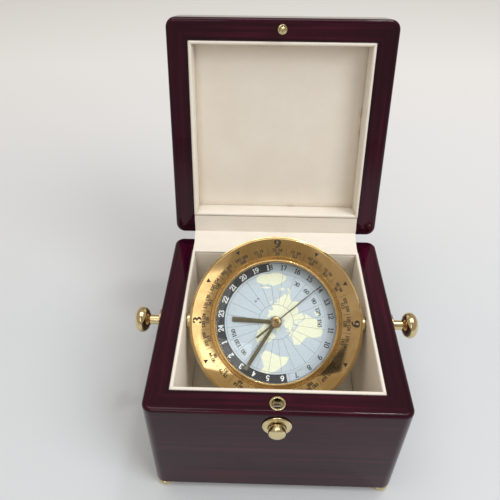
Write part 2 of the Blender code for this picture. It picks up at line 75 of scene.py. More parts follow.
# The three frames that pieces are laid out in: the row frame, the shut lid and the dial ----
HINGE = Vector(JOINTS["lid_hinge"]["pos_m"])
LID_OPENING = radians(max(JOINTS["lid_hinge"]["range_deg"]))
PIVOT = Vector(JOINTS["clock_tilt"]["pos_m"])
INTO_DIAL = Vector(JOINTS["second_hand_turn"]["axis"])
DIAL_TILT = atan2(INTO_DIAL.y, -INTO_DIAL.z)
ROW = Matrix.Identity(4)
LID = (Matrix.Translation(HINGE) @ Matrix.Rotation(-LID_OPENING, 4, "X")
       @ Matrix.Translation(-HINGE))
DIAL = Matrix.Translation(PIVOT) @ Matrix.Rotation(DIAL_TILT, 4, "X")
FACING_RIGHT = Matrix.Rotation(pi / 2, 4, "Y")
FACING_LEFT = Matrix.Rotation(-pi / 2, 4, "Y")
FACING_FRONT = Matrix.Rotation(pi / 2, 4, "X")


def local_box(node, layout):
    """(lowest corner, highest corner) of a CAD node in one of those frames."""
    back = layout.inverted()
    points = [back @ vert.co for vert in NODES[node].data.vertices]
    return (Vector(min(p[i] for p in points) for i in range(3)),
            Vector(max(p[i] for p in points) for i in range(3)))


# Sizes read from the frame ---------------------------------------------------------------
SHELL_LOW, SHELL_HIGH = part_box("box_shell")
HALF = SHELL_HIGH.x
RIM = SHELL_HIGH.z
LID_LOW, LID_HIGH = local_box("lid_shell", LID)
LINING_LOW, LINING_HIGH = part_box("box_lining_walls")
LINING_OUT = LINING_HIGH.x
LID_LINING_LOW, LID_LINING_HIGH = local_box("lid_lining_walls", LID)
PAD_LOW, PAD_HIGH = local_box("lid_pad", LID)
FLOOR_PAD_LOW, FLOOR_PAD_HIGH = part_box("box_lining_floor")
FLAP_LOW, FLAP_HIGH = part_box("flap_box")
LID_FLAP_RIM = local_box("flap_lid", LID)[0].z
BEZEL_LOW, BEZEL_HIGH = local_box("bezel", DIAL)
BEZEL_RADIUS = BEZEL_HIGH.x
GLASS_LOW, GLASS_HIGH = local_box("glass", DIAL)
GLASS_RING_LOW, GLASS_RING_HIGH = local_box("glass_ring", DIAL)
RING_LOW, RING_HIGH = local_box("day_ring", DIAL)
RING_RADIUS = RING_HIGH.x
MAP_LOW, MAP_HIGH = local_box("map_disc", DIAL)
MAP_RADIUS = MAP_HIGH.x
HUB_LOW, HUB_HIGH = local_box("hub_cap", DIAL)

CORNER = 6 * MM
EDGE = 2.2 * MM
BOTTOM_EDGE = 2.6 * MM
OVERCUT = 5 * MM
HUB_HOLE = 3.6 * MM
GAP = 0.3 * MM
WALL = HALF - LINING_OUT - GAP
LINING = 2 * MM
LINING_IN = LINING_OUT - LINING
BUSH_HOLE = 4.8 * MM
FLAP_RECESS = 1 * MM
LEAF_RECESS = 2.1 * MM
INK = 0.03 * MM

# The time and the turn of the 24-hour ring, as angles clockwise from the top of the dial
HOUR_ANGLE = radians(272.8)
MINUTE_ANGLE = radians(212)
SECOND_ANGLE = radians(50)
RING_MIDNIGHT = radians(262.4)
MAP_MERIDIAN = radians(123.5)


# Node trees ------------------------------------------------------------------------------

def surface(name, colour, roughness, metallic=0.0, **sockets):
    """A Principled material; sockets are other inputs, with underscores for spaces."""
    material = bpy.data.materials.new(name)
    material.use_nodes = True
    shader = material.node_tree.nodes["Principled BSDF"]
    shader.inputs["Base Color"].default_value = (*colour, 1)
    shader.inputs["Roughness"].default_value = roughness
    shader.inputs["Metallic"].default_value = metallic
    for socket, value in sockets.items():
        shader.inputs[socket.replace("_", " ")].default_value = value
    material.diffuse_color = (*colour, 1)
    return material


def node(material, kind, **settings):
    made = material.node_tree.nodes.new("ShaderNode" + kind)
    for key, value in settings.items():
        if key[0].isupper():
            made.inputs[key.replace("_", " ")].default_value = value
        else:
            setattr(made, key, value)
    return made


def wire(material, source, target):
    material.node_tree.links.new(source, target)


def own_coordinates(material, scale):
    """Object coordinates, stretched by scale."""
    place = node(material, "TexCoord")
    mapping = node(material, "Mapping", Scale=scale)
    wire(material, place.outputs["Object"], mapping.inputs["Vector"])
    return mapping.outputs["Vector"]


def mottle(material, scale, detail=4.0, roughness=0.55, distortion=0.0):
    """Noise from 0 to 1 whose grains are 1/scale metres."""
    scale = scale if hasattr(scale, "__len__") else (scale, scale, scale)
    texture = node(material, "TexNoise", Scale=1.0, Detail=detail, Roughness=roughness,
                   Distortion=distortion)
    wire(material, own_coordinates(material, scale), texture.inputs["Vector"])
    return texture.outputs["Fac"]


def span(material, value, low, high, start, end):
    """A value mapped from low..high to start..end."""
    made = node(material, "MapRange", From_Min=low, From_Max=high, To_Min=start, To_Max=end)
    wire(material, value, made.inputs["Value"])
    return made.outputs["Result"]


def blend_colours(material, factor, first, second):
    """first where factor is 0 and second where it is 1; each is a colour or a socket."""
    mix = node(material, "Mix", data_type="RGBA")
    wire(material, factor, mix.inputs["Factor"])
    for socket, value in (("A", first), ("B", second)):
        target = next(s for s in mix.inputs if s.name == socket and s.type == "RGBA")
        if hasattr(value, "links"):
            wire(material, value, target)
        else:
            target.default_value = (*value, 1)
    return next(s for s in mix.outputs if s.type == "RGBA")


def set_colour(material, socket):
    wire(material, socket, material.node_tree.nodes["Principled BSDF"].inputs["Base Color"])


def set_roughness(material, value, low, high, start, end):
    target = material.node_tree.nodes["Principled BSDF"].inputs["Roughness"]
    wire(material, span(material, value, low, high, start, end), target)


def set_bump(material, height, distance, strength=1.0, coat=False):
    made = node(material, "Bump", Strength=strength, Distance=distance)
    wire(material, height, made.inputs["Height"])
    shader = material.node_tree.nodes["Principled BSDF"]
    wire(material, made.outputs["Normal"], shader.inputs["Normal"])
    if coat:
        wire(material, made.outputs["Normal"], shader.inputs["Coat Normal"])


# Materials -------------------------------------------------------------------------------

def lacquered_wood():
    """Burgundy veneer under a deep clear coat, its grain level on the sides, along each rail of the rims and
    from side to side on top of the lid."""
    wood = surface("burgundy_lacquer", (0.03, 0.003, 0.008), 0.45, Coat_Weight=1.0, Coat_Roughness=0.02,
                   Coat_IOR=1.35, Specular_IOR_Level=0.0)
    place = node(wood, "TexCoord")

    def size_along(source, axis):
        split = node(wood, "SeparateXYZ")
        wire(wood, source, split.inputs["Vector"])
        size = node(wood, "Math", operation="ABSOLUTE")
        wire(wood, split.outputs[axis], size.inputs[0])
        return size.outputs[0]

    def greater(first, second):
        test = node(wood, "Math", operation="GREATER_THAN")
        wire(wood, first, test.inputs[0])
        if hasattr(second, "links"):
            wire(wood, second, test.inputs[1])
        else:
            test.inputs[1].default_value = second
        return test.outputs[0]

    def choose(factor, first, second):
        mix = node(wood, "Mix")
        wire(wood, factor, mix.inputs["Factor"])
        wire(wood, first, mix.inputs["A"])
        wire(wood, second, mix.inputs["B"])
        return mix.outputs["Result"]

    along_x, along_y = mottle(wood, (7, 300, 30), 6, 0.62, 0.7), mottle(wood, (300, 7, 30), 6, 0.62, 0.7)
    at = place.outputs["Object"]
    rails = choose(greater(size_along(at, "X"), size_along(at, "Y")), along_x, along_y)
    rails = choose(greater(size_along(at, "Z"), (LID_LOW.z + LID_HIGH.z) / 2), rails, along_x)
    upright = span(wood, size_along(place.outputs["Normal"], "Z"), 0.4, 0.7, 0, 1)
    streaks = choose(upright, mottle(wood, (8, 8, 380), 6, 0.6, 0.5), rails)
    cloud = mottle(wood, 26, 3)
    pores = mottle(wood, (1500, 60, 1500), 3, 0.5)
    dark, mid, red = (0.011, 0.0009, 0.0044), (0.038, 0.0024, 0.0115), (0.078, 0.0050, 0.0180)
    colour = blend_colours(wood, span(wood, streaks, 0.34, 0.56, 0, 1), dark, mid)
    colour = blend_colours(wood, span(wood, streaks, 0.54, 0.74, 0, 0.8), colour, red)
    colour = blend_colours(wood, span(wood, cloud, 0.35, 0.7, 0, 0.45), colour, dark)
    colour = blend_colours(wood, span(wood, pores, 0.62, 0.74, 0, 0.45), colour, (0.006, 0.0008, 0.002))
    set_colour(wood, colour)
    set_roughness(wood, streaks, 0.3, 0.7, 0.4, 0.55)
    set_bump(wood, mottle(wood, 55, 2), 0.05 * MM, 0.22, coat=True)
    return wood


def leatherette():
    """Cream leatherette with a fine pebbled grain and slight handling marks."""
    cream = surface("cream_leatherette", (0.75, 0.69, 0.60), 0.62, Sheen_Weight=0.12, Sheen_Roughness=0.5,
                    Specular_IOR_Level=0.35)
    cloud = mottle(cream, 45, 4)
    grain = node(cream, "TexVoronoi", feature="SMOOTH_F1", Scale=1.0, Smoothness=0.4)
    wire(cream, own_coordinates(cream, (2300, 2300, 2300)), grain.inputs["Vector"])
    fine = mottle(cream, 4200, 2)
    colour = blend_colours(cream, span(cream, cloud, 0.3, 0.7, 0, 1), (0.87, 0.815, 0.73),
                           (0.83, 0.765, 0.67))
    # Painted shade: the pits of the pebbled grain, where the bump sinks, are painted darker
    colour = blend_colours(cream, span(cream, grain.outputs["Distance"], 0.05, 0.6, 0.28, 0), colour,
                           (0.72, 0.64, 0.54))
    set_colour(cream, colour)
    set_roughness(cream, fine, 0.3, 0.7, 0.52, 0.70)
    height = node(cream, "Math", operation="ADD")
    wire(cream, grain.outputs["Distance"], height.inputs[0])
    wire(cream, fine, height.inputs[1])
    set_bump(cream, height.outputs[0], 0.10 * MM, 0.5)
    return cream


def polished_metal(name, colour, shade, roughness, grain=900.0, wear_and_painted_reflection=0.0):
    """Polished metal with faint smears, fine scratches and, where worn, dull patches; on the gold bezel the
    smeared darker tone and the dull patches are painted reflection, standing in for the brown mottle in its
    polish.
    """
    metal = surface(name, colour, roughness, 1.0)
    smears_and_painted_reflection = mottle(metal, (grain / 7, grain / 7, grain / 7), 5, 0.6, 0.4)
    scratches = mottle(metal, (grain, grain * 6, grain * 2), 3, 0.6)
    patches = mottle(metal, grain / 14, 3)
    # Smeared darker tone and dull patches; on the gold both are painted reflection
    tone = blend_colours(metal, span(metal, smears_and_painted_reflection, 0.3, 0.75, 0, 1), colour, shade)
    set_colour(metal, blend_colours(metal, span(metal, patches, 0.55, 0.75, 0, wear_and_painted_reflection), tone,
                                    tuple(c * 0.55 for c in shade)))
    set_roughness(metal, smears_and_painted_reflection, 0.25, 0.75, roughness * 0.6, roughness * 1.7 + 0.1 * wear_and_painted_reflection)
    set_bump(metal, scratches, 0.01 * MM, 0.12)
    return metal


def printed(name, colour, shade, roughness, metallic=0.0, grain=1400.0):
    """Ink or enamel with a slight unevenness."""
    ink = surface(name, colour, roughness, metallic)
    uneven = mottle(ink, grain, 3)
    set_colour(ink, blend_colours(ink, span(ink, uneven, 0.3, 0.7, 0, 1), colour, shade))
    set_roughness(ink, uneven, 0.3, 0.7, roughness * 0.85, roughness * 1.2)
    set_bump(ink, uneven, 0.01 * MM, 0.2)
    return ink


def moulded(name, colour, shade, roughness):
    plastic = surface(name, colour, roughness)
    texture = mottle(plastic, 2600, 2)
    cloud = mottle(plastic, 90, 3)
    set_colour(plastic, blend_colours(plastic, cloud, colour, shade))
    set_roughness(plastic, cloud, 0.3, 0.7, roughness * 0.9, roughness * 1.15)
    set_bump(plastic, texture, 0.03 * MM, 0.4)
    return plastic


def velour():
    cloth = surface("black_velour", (0.02, 0.019, 0.021), 0.95, Sheen_Weight=0.6, Sheen_Roughness=0.4)
    nap = mottle(cloth, 3800, 3)
    sweep = mottle(cloth, (60, 25, 60), 4)
    colour = blend_colours(cloth, span(cloth, sweep, 0.35, 0.65, 0, 1), (0.013, 0.012, 0.014),
                           (0.034, 0.032, 0.036))
    # Painted sheen: where the nap's bump stands up, the pile is painted lighter
    set_colour(cloth, blend_colours(cloth, span(cloth, nap, 0.3, 0.7, 0, 0.5), colour, (0.05, 0.048, 0.053)))
    set_roughness(cloth, nap, 0.3, 0.7, 0.85, 1.0)
    set_bump(cloth, nap, 0.2 * MM, 0.7)
    return cloth


def clear_glass():
    return surface("clear_glass", (0.97, 0.985, 0.985), 0.0, Transmission_Weight=1.0, IOR=1.5)


LACQUER = lacquered_wood()
CREAM = leatherette()
# Painted reflection: the gold's darker mottle and dull patches stand in for the brown reflections in its
# polish
GOLD = polished_metal("polished_gold", (0.88, 0.65, 0.32), (0.68, 0.46, 0.20), 0.08, 700, 0.25)
TRACK_GOLD = polished_metal("track_gold", (0.70, 0.42, 0.14), (0.56, 0.31, 0.10), 0.22, 700)
BRASS = polished_metal("polished_brass", (0.80, 0.68, 0.40), (0.64, 0.52, 0.28), 0.14, 800, 0.15)
AGED_BRASS = polished_metal("aged_brass", (0.50, 0.36, 0.18), (0.34, 0.23, 0.11), 0.2, 900, 0.3)
PINK_BRASS = polished_metal("pink_brass", (0.80, 0.55, 0.36), (0.66, 0.42, 0.26), 0.22, 800, 0.2)
OLD_BRASS = polished_metal("old_brass", (0.66, 0.50, 0.26), (0.46, 0.33, 0.17), 0.30, 700, 0.6)
SILVER = polished_metal("polished_silver", (0.80, 0.80, 0.78), (0.66, 0.66, 0.64), 0.12, 900)
STEEL = polished_metal("zinc_steel", (0.60, 0.60, 0.59), (0.44, 0.45, 0.46), 0.30, 700, 0.4)
BRONZE = polished_metal("dark_bronze", (0.17, 0.145, 0.085), (0.10, 0.085, 0.05), 0.36, 1200)
BLACK_INK = printed("black_enamel", (0.016, 0.014, 0.012), (0.03, 0.026, 0.022), 0.38)
BROWN_INK = printed("brown_enamel", (0.040, 0.024, 0.012), (0.07, 0.043, 0.02), 0.4)
GREY_INK = printed("grey_ink", (0.09, 0.10, 0.11), (0.15, 0.16, 0.18), 0.5)
WHITE_INK = printed("white_ink", (0.78, 0.78, 0.74), (0.68, 0.68, 0.64), 0.45)
BAND_INK = printed("night_band", (0.008, 0.010, 0.014), (0.014, 0.017, 0.022), 0.42)
SEA = printed("map_sea", (0.44, 0.49, 0.52), (0.405, 0.455, 0.485), 0.45, 0.0, 500)
LAND = printed("map_land", (0.70, 0.69, 0.50), (0.64, 0.64, 0.47), 0.5, 0.0, 700)
DAY = printed("day_ring_face", (0.43, 0.475, 0.51), (0.395, 0.44, 0.475), 0.45, 0.0, 500)
BLACK_PLASTIC = moulded("black_plastic_case", (0.02, 0.02, 0.021), (0.035, 0.035, 0.036), 0.5)
GREY_PLASTIC = moulded("grey_plastic_plate", (0.34, 0.35, 0.37), (0.28, 0.29, 0.31), 0.55)
CELL = printed("cell_sleeve", (0.07, 0.17, 0.36), (0.05, 0.13, 0.30), 0.32, 0.3)
VELOUR = velour()
GLASS = clear_glass()


# Mesh tools ------------------------------------------------------------------------------

def piece(name, mesh, material, body, layout=ROW, replaces=(), sharp=35, even=False):
    """A finished piece: shaded, on its body, and standing for the nodes that it replaces."""
    obj = bpy.data.objects.new(name, mesh)
    SCENE.collection.objects.link(obj)
    obj.matrix_world = layout
    mesh.name = name
    mesh.materials.clear()
    mesh.materials.append(material)
    mesh.shade_smooth()
    mesh.set_sharp_from_angle(angle=radians(sharp))
    if even:
        weighted = obj.modifiers.new("Flat faces stay flat", "WEIGHTED_NORMAL")
        weighted.keep_sharp = True
        weighted.weight = 100
    if body:
        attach(obj, body)
    if replaces:
        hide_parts(*replaces)
    return obj


def mesh_from(bm, name="mesh"):
    mesh = bpy.data.meshes.new(name)
    bmesh.ops.recalc_face_normals(bm, faces=bm.faces)
    bm.to_mesh(mesh)
    bm.free()
    return mesh


def square_loop(half_x, half_y, radius, z, centre_y=0.0, arc=7):
    """A level rounded rectangle of points."""
    points = []
    for quarter, (sx, sy) in enumerate(((1, 1), (-1, 1), (-1, -1), (1, -1))):
        for step in range(arc + 1):
            angle = radians(90) * (quarter + step / arc)
            points.append((sx * (half_x - radius) + radius * cos(angle),
                           centre_y + sy * (half_y - radius) + radius * sin(angle), z))
    return points


def lofted(loops, closed=False):
    """Faces between one loop of points and the next, ending in flat caps unless the last meets the first."""
    bm = bmesh.new()
    rows = [[bm.verts.new(point) for point in loop] for loop in loops]
    pairs = list(zip(rows, rows[1:]))
    if closed:
        pairs.append((rows[-1], rows[0]))
    for first, second in pairs:
        for i, vert in enumerate(first):
            j = (i + 1) % len(first)
            bm.faces.new((vert, first[j], second[j], second[i]))
    if not closed:
        bm.faces.new(rows[0])
        bm.faces.new(rows[-1])
    return mesh_from(bm)


def rounded_profile(outline, steps=4):
    """(radius, height) points from (radius, height, setback) ones, with a curve at each setback."""
    made = []
    count = len(outline)
    for i, point in enumerate(outline):
        here = Vector(point[:2])
        setback = point[2] if len(point) > 2 else 0
        if not setback:
            made.append(tuple(here))
            continue
        before = Vector(outline[(i - 1) % count][:2])
        after = Vector(outline[(i + 1) % count][:2])
        start = here + (before - here).normalized() * setback
        end = here + (after - here).normalized() * setback
        for step in range(steps + 1):
            t = step / steps
            made.append(tuple(start * (1 - t) ** 2 + here * 2 * t * (1 - t) + end * t * t))
    return made


def turned(outline, steps=96):
    """A lathe shape about Z from (radius, height, setback) points, closed unless it starts on the axis."""
    profile = rounded_profile(outline)
    bm = bmesh.new()
    verts = [bm.verts.new((radius, 0, height)) for radius, height in profile]
    edges = [bm.edges.new(pair) for pair in zip(verts, verts[1:])]
    if profile[0][0] > 0:
        edges.append(bm.edges.new((verts[-1], verts[0])))
    bmesh.ops.spin(bm, geom=verts + edges, cent=(0, 0, 0), axis=(0, 0, 1), angle=2 * pi, steps=steps,
                   use_merge=True)
    bmesh.ops.remove_doubles(bm, verts=bm.verts, dist=0.001 * MM)
    return mesh_from(bm)


def box_tool(low, high):
    bm = bmesh.new()
    bmesh.ops.create_cube(bm, size=1)
    for vert in bm.verts:
        vert.co = [a + (b - a) * (c + 0.5) for a, b, c in zip(low, high, vert.co)]
    return mesh_from(bm)


def rod_tool(radius, start, end, steps=48):
    """A cylinder between two points."""
    axis = Vector(end) - Vector(start)
    turn = axis.to_track_quat("Z", "Y").to_matrix().to_4x4()
    place = Matrix.Translation((Vector(start) + Vector(end)) / 2) @ turn
    bm = bmesh.new()
    bmesh.ops.create_cone(bm, cap_ends=True, segments=steps, radius1=radius, radius2=radius,
                          depth=axis.length, matrix=place)
    return mesh_from(bm)


def carved(mesh, *tools):
    """The mesh with the tools cut out of it."""
    body = bpy.data.objects.new("carving", mesh)
    SCENE.collection.objects.link(body)
    cutters = []
    for tool in tools:
        cutter = bpy.data.objects.new("cutter", tool)
        SCENE.collection.objects.link(cutter)
        cutters.append(cutter)
        cut = body.modifiers.new("Cut", "BOOLEAN")
        cut.object = cutter
        cut.operation = "DIFFERENCE"
        cut.solver = "EXACT"
    bpy.context.view_layer.update()
    made = bpy.data.meshes.new_from_object(body.evaluated_get(bpy.context.evaluated_depsgraph_get()))
    for obj in (body, *cutters):
        bpy.data.objects.remove(obj)
    return made


# Lacquered box and lid -------------------------------------------------------------------

def edge_loops(half, corner, z, up, inwards, centre_y, edge, steps=6):
    """Loops round an edge of a block, from its level face to its side, or back when inwards is true."""
    loops = []
    for step in range(steps + 1):
        angle = radians(90) * step / steps
        inset = edge * (1 - sin(angle))
        height = z - up * edge * (1 - cos(angle))
        loops.append(square_loop(half - inset, half - inset, max(corner - inset, 0.4 * MM), height, centre_y))
    return loops[::-1] if inwards else loops


def well_loops(half, z, up, centre_y, edge=0.4 * MM, steps=3):
    """Loops from a rim's level face over its inner edge."""
    loops = []
    for step in range(steps + 1):
        angle = radians(90) * step / steps
        out = edge * (1 - sin(angle))
        loops.append(square_loop(half + out, half + out, 1.2 * MM, z - up * edge * (1 - cos(angle)),
                                 centre_y))
    return loops


def rim_recesses(rim, up):
    """Tools for the flap's and the hinge leaf's recesses in a back rim."""
    leaf_low, leaf_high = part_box("hinge_box_leaf")
    tools = []
    for half_width, front, depth in ((LINING_OUT, LINING_IN - 0.6 * MM, FLAP_RECESS),
                                     (leaf_high.x + GAP, leaf_low.y - GAP, LEAF_RECESS)):
        levels = sorted((rim - up * depth, rim + up * OVERCUT))
        tools.append(box_tool((-half_width, front, levels[0]), (half_width, HALF + OVERCUT, levels[1])))
    return tools


def lacquered_box():
    well = HALF - WALL
    loops = edge_loops(HALF, CORNER, SHELL_LOW.z, -1, False, 0, BOTTOM_EDGE)
    loops += edge_loops(HALF, CORNER, RIM, 1, True, 0, EDGE)
    loops += well_loops(well, RIM, 1, 0)
    loops.append(square_loop(well, well, 1.2 * MM, SHELL_LOW.z))
    button_low, button_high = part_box("button")
    socket_low, socket_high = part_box("catch_socket")
    button_z = (button_low.z + button_high.z) / 2
    socket_y = (socket_low.y + socket_high.y) / 2
    plate_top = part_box("catch_plate")[1].z
    shell = carved(
        lofted(loops, closed=True),
        rod_tool(BUSH_HOLE, (-HALF - OVERCUT, 0, PIVOT.z), (HALF + OVERCUT, 0, PIVOT.z)),
        box_tool((-4 * MM, -HALF - OVERCUT, button_z - 4.4 * MM),
                 (4 * MM, -HALF + 11.6 * MM, plate_top + 0.9 * MM)),
        rod_tool(4.6 * MM, (0, socket_y, plate_top), (0, socket_y, RIM + OVERCUT)),
        *rim_recesses(RIM, 1))
    piece("lacquered_box", shell, LACQUER, "box", replaces=["box_shell"], even=True)


def lacquered_lid():
    centre_y = (LID_LOW.y + LID_HIGH.y) / 2
    well = HALF - WALL
    well_top = LID_LINING_HIGH.z + GAP
    loops = [square_loop(well, well, 1.2 * MM, well_top)]
    loops += well_loops(well, LID_LOW.z, -1, 0)[::-1]
    loops += edge_loops(HALF, CORNER, LID_LOW.z, -1, False, 0, EDGE)
    loops += edge_loops(HALF, CORNER, LID_HIGH.z, 1, True, 0, EDGE)
    stud_low, stud_high = local_box("lid_stud", LID)
    stud_y = (stud_low.y + stud_high.y) / 2
    shell = carved(
        lofted([[(x, y + centre_y, z) for x, y, z in loop] for loop in loops]),
        rod_tool(3.2 * MM, (0, stud_y, LID_LOW.z - OVERCUT), (0, stud_y, LID_LOW.z + 1.5 * MM)),
        *rim_recesses(LID_LOW.z, -1))
    piece("lacquered_lid", shell, LACQUER, "lid", LID, ["lid_shell"], even=True)


# Leatherette linings ---------------------------------------------------------------------

def lining_panel(name, side, foot, lip, layout, body, holes=(), low_back=0.0):
    """One mitred wall of a lining: foam-backed leatherette, crowned inside and rolled over at its lip.

    side counts quarter turns from the front wall; foot and lip are its heights, and low_back lowers the lip.
    """
    up = 1 if lip > foot else -1
    lip -= up * low_back
    roll = 0.85 * MM
    rows = 14
    inner = [(LINING_IN, foot + (lip - up * roll - foot) * i / rows) for i in range(rows + 1)]
    over = []
    for step in range(1, 9):
        angle = radians(180) * step / 8
        over.append((LINING_IN + LINING / 2 - (LINING / 2) * cos(angle), lip - up * roll * (1 - sin(angle))))
    outer = [(LINING_OUT, foot)]
    section = inner + over + outer
    columns = 28
    seam = 0.12 * MM
    loops = []
    for column in range(columns + 1):
        u = 2 * column / columns - 1
        loop = []
        for depth, z in section:
            v = (z - foot) / (lip - foot)
            crown = 0.22 * MM * (1 - u ** 10) * (1 - (2 * v - 1) ** 6)
            ripple = 0.10 * MM * noise.noise(Vector((u * 2.3 + side * 7, v * 2.1, up * 3.0))) * (1 - u ** 10)
            inset = crown + ripple if depth < LINING_IN + LINING / 2 else 0
            loop.append((u * (depth - seam), -depth + inset, z))
        loops.append(loop)
    mesh = lofted(loops)
    mesh.transform(Matrix.Rotation(side * pi / 2, 4, "Z"))
    if holes:
        mesh = carved(mesh, *holes)
    piece(name, mesh, CREAM, body, layout, [f"{body}_lining_walls"], sharp=50)


def linings():
    hole = rod_tool(BUSH_HOLE, (-HALF, 0, PIVOT.z), (HALF, 0, PIVOT.z))
    names = ("front", "right", "back", "left")
    lid_middle = Matrix.Translation((0, (LID_LINING_LOW.y + LID_LINING_HIGH.y) / 2, 0))
    for side, label in enumerate(names):
        at_back = FLAP_RECESS + 0.25 * MM if label == "back" else 0
        holes = [hole.copy()] if label in ("left", "right") else []
        lining_panel(f"box_lining_{label}", side, LINING_LOW.z, LINING_HIGH.z, ROW, "box", holes, at_back)
        lining_panel(f"lid_lining_{label}", side, LID_LINING_HIGH.z, LID_LINING_LOW.z, LID @ lid_middle,
                     "lid")


def padded_panel(name, half, low, high, up, crown, layout, body, replaced):
    """A leatherette panel stretched over foam: crowned, with its edges pulled down to the board."""
    count = 44
    bm = bmesh.new()
    faces = {}
    for level, face in ((0, "board"), (1, "show")):
        for i in range(count + 1):
            for j in range(count + 1):
                u, v = 2 * i / count - 1, 2 * j / count - 1
                x, y = half * u, half * v
                board, top = (low, high) if up > 0 else (high, low)
                z = board
                if level:
                    reach = max(abs(u), abs(v))
                    edge = max(0.0, (reach - 0.93) / 0.07)
                    pucker = noise.noise(Vector((u * 9, v * 9, 2.0))) * 0.10 * MM * reach ** 4
                    rise = crown * (1 - u ** 4) * (1 - v ** 4) - crown
                    z = top + up * (rise + pucker - 1.4 * MM * edge ** 2.2)
                faces[face, i, j] = bm.verts.new((x, y, z))
    for i in range(count):
        for j in range(count):
            for face in ("board", "show"):
                bm.faces.new([faces[face, a, b] for a, b in ((i, j), (i + 1, j), (i + 1, j + 1), (i, j + 1))])
    rim = ([(i, 0) for i in range(count)] + [(count, j) for j in range(count)]
           + [(i, count) for i in range(count, 0, -1)] + [(0, j) for j in range(count, 0, -1)])
    for first, second in zip(rim, rim[1:] + rim[:1]):
        bm.faces.new([faces["board", *first], faces["board", *second], faces["show", *second],
                      faces["show", *first]])
    obj = piece(name, mesh_from(bm), CREAM, body, layout, replaced, sharp=60)


def pads():
    middle = Matrix.Translation((0, (PAD_LOW.y + PAD_HIGH.y) / 2, 0))
    padded_panel("lid_padded_panel", LINING_IN - 0.08 * MM, PAD_LOW.z, PAD_HIGH.z, -1, 0.9 * MM,
                 LID @ middle, "lid",
                 ["lid_pad"])
    padded_panel("box_padded_floor", LINING_IN, FLOOR_PAD_LOW.z, FLOOR_PAD_HIGH.z, 1, 0.3 * MM, ROW, "box",
                 ["box_lining_floor"])


def flap_path():
    """The flap's outer face in the Y-Z plane: along the box's rim, over the knuckles and up the lid."""
    level = FLAP_HIGH.z
    lift = HINGE.y - 7 * MM
    crease = LID @ Vector((0, HINGE.y - 3.5 * MM, LID_FLAP_RIM))
    start = Vector((0, FLAP_LOW.y - 0.2 * MM, level))
    before, corner, after = (Vector((0, lift - 3 * MM, level)), Vector((0, lift, level)),
                             Vector((0, lift, level)).lerp(crease, 0.3))
    path = [start.lerp(before, i / 7) for i in range(8)]
    for step in range(1, 7):
        t = step / 6
        path.append(before * (1 - t) ** 2 + corner * 2 * t * (1 - t) + after * t * t)
    path += [after.lerp(crease, i / 7) for i in range(1, 8)]
    foot = LID @ Vector((0, HINGE.y - 3.85 * MM, LID_FLAP_RIM - 0.02 * MM))
    end = LID @ Vector((0, LINING_OUT + 0.2 * MM, LID_FLAP_RIM))
    path += [foot.lerp(end, i / 9) for i in range(10)]
    return path, corner, crease


def hinge_flap():
    """One strip of leatherette over the hinge, from the box's rim to the lid's, creased where it folds."""
    thickness = 0.5 * MM
    half_width = FLAP_HIGH.x
    path, corner, crease = flap_path()
    count = len(path)
    along = [0.0]
    for a, b in zip(path, path[1:]):
        along.append(along[-1] + (b - a).length)
    fold = along[path.index(crease)]
    columns = 72
    loops = []
    for column in range(columns + 1):
        u = 2 * column / columns - 1
        outer, inner = [], []
        for i, point in enumerate(path):
            heading = (path[min(i + 1, count - 1)] - path[max(i - 1, 0)]).normalized()
            out = Vector((0, -heading.z, heading.y))
            loose = max(0.0, 1 - abs(along[i] - fold) / (9 * MM))
            wave = loose * (0.40 * MM * noise.noise(Vector((u * 2.6, along[i] * 90, 5.0)))
                            + 0.14 * MM * noise.noise(Vector((u * 8.0, along[i] * 220, 9.0))))
            drift = 1.0 * MM * loose * noise.noise(Vector((u * 1.7, 0.3, 2.0)))
            edge = 0.2 * MM * noise.noise(Vector((along[i] * 160, u, 1.0)))
            place = point + heading * drift + Vector((u * (half_width - 0.1 * MM + edge), 0, 0))
            outer.append(tuple(place + out * (wave - 0.1 * MM * (abs(u) > 0.999))))
            inner.append(tuple(place + out * (wave - thickness)))
        loops.append(outer + inner[::-1])
    obj = piece("hinge_flap", lofted(loops), CREAM, None, ROW, ["flap_box", "flap_lid"], sharp=38)
    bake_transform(obj)


# Clock head ------------------------------------------------------------------------------

TRACK_RADIUS = 39.6 * MM
FACE_OUTER = (BEZEL_RADIUS - 1.5 * MM, BEZEL_LOW.z + 4.8 * MM)
FACE_INNER = (TRACK_RADIUS + 0.2 * MM, BEZEL_LOW.z + 5.35 * MM)


def bezel_face(radius):
    """Height of the bezel's face, or of its sunk minute track, over the dial's middle."""
    if radius < TRACK_RADIUS:
        return BEZEL_LOW.z + 5.05 * MM
    share = (radius - FACE_INNER[0]) / (FACE_OUTER[0] - FACE_INNER[0])
    return FACE_INNER[1] + share * (FACE_OUTER[1] - FACE_INNER[1])


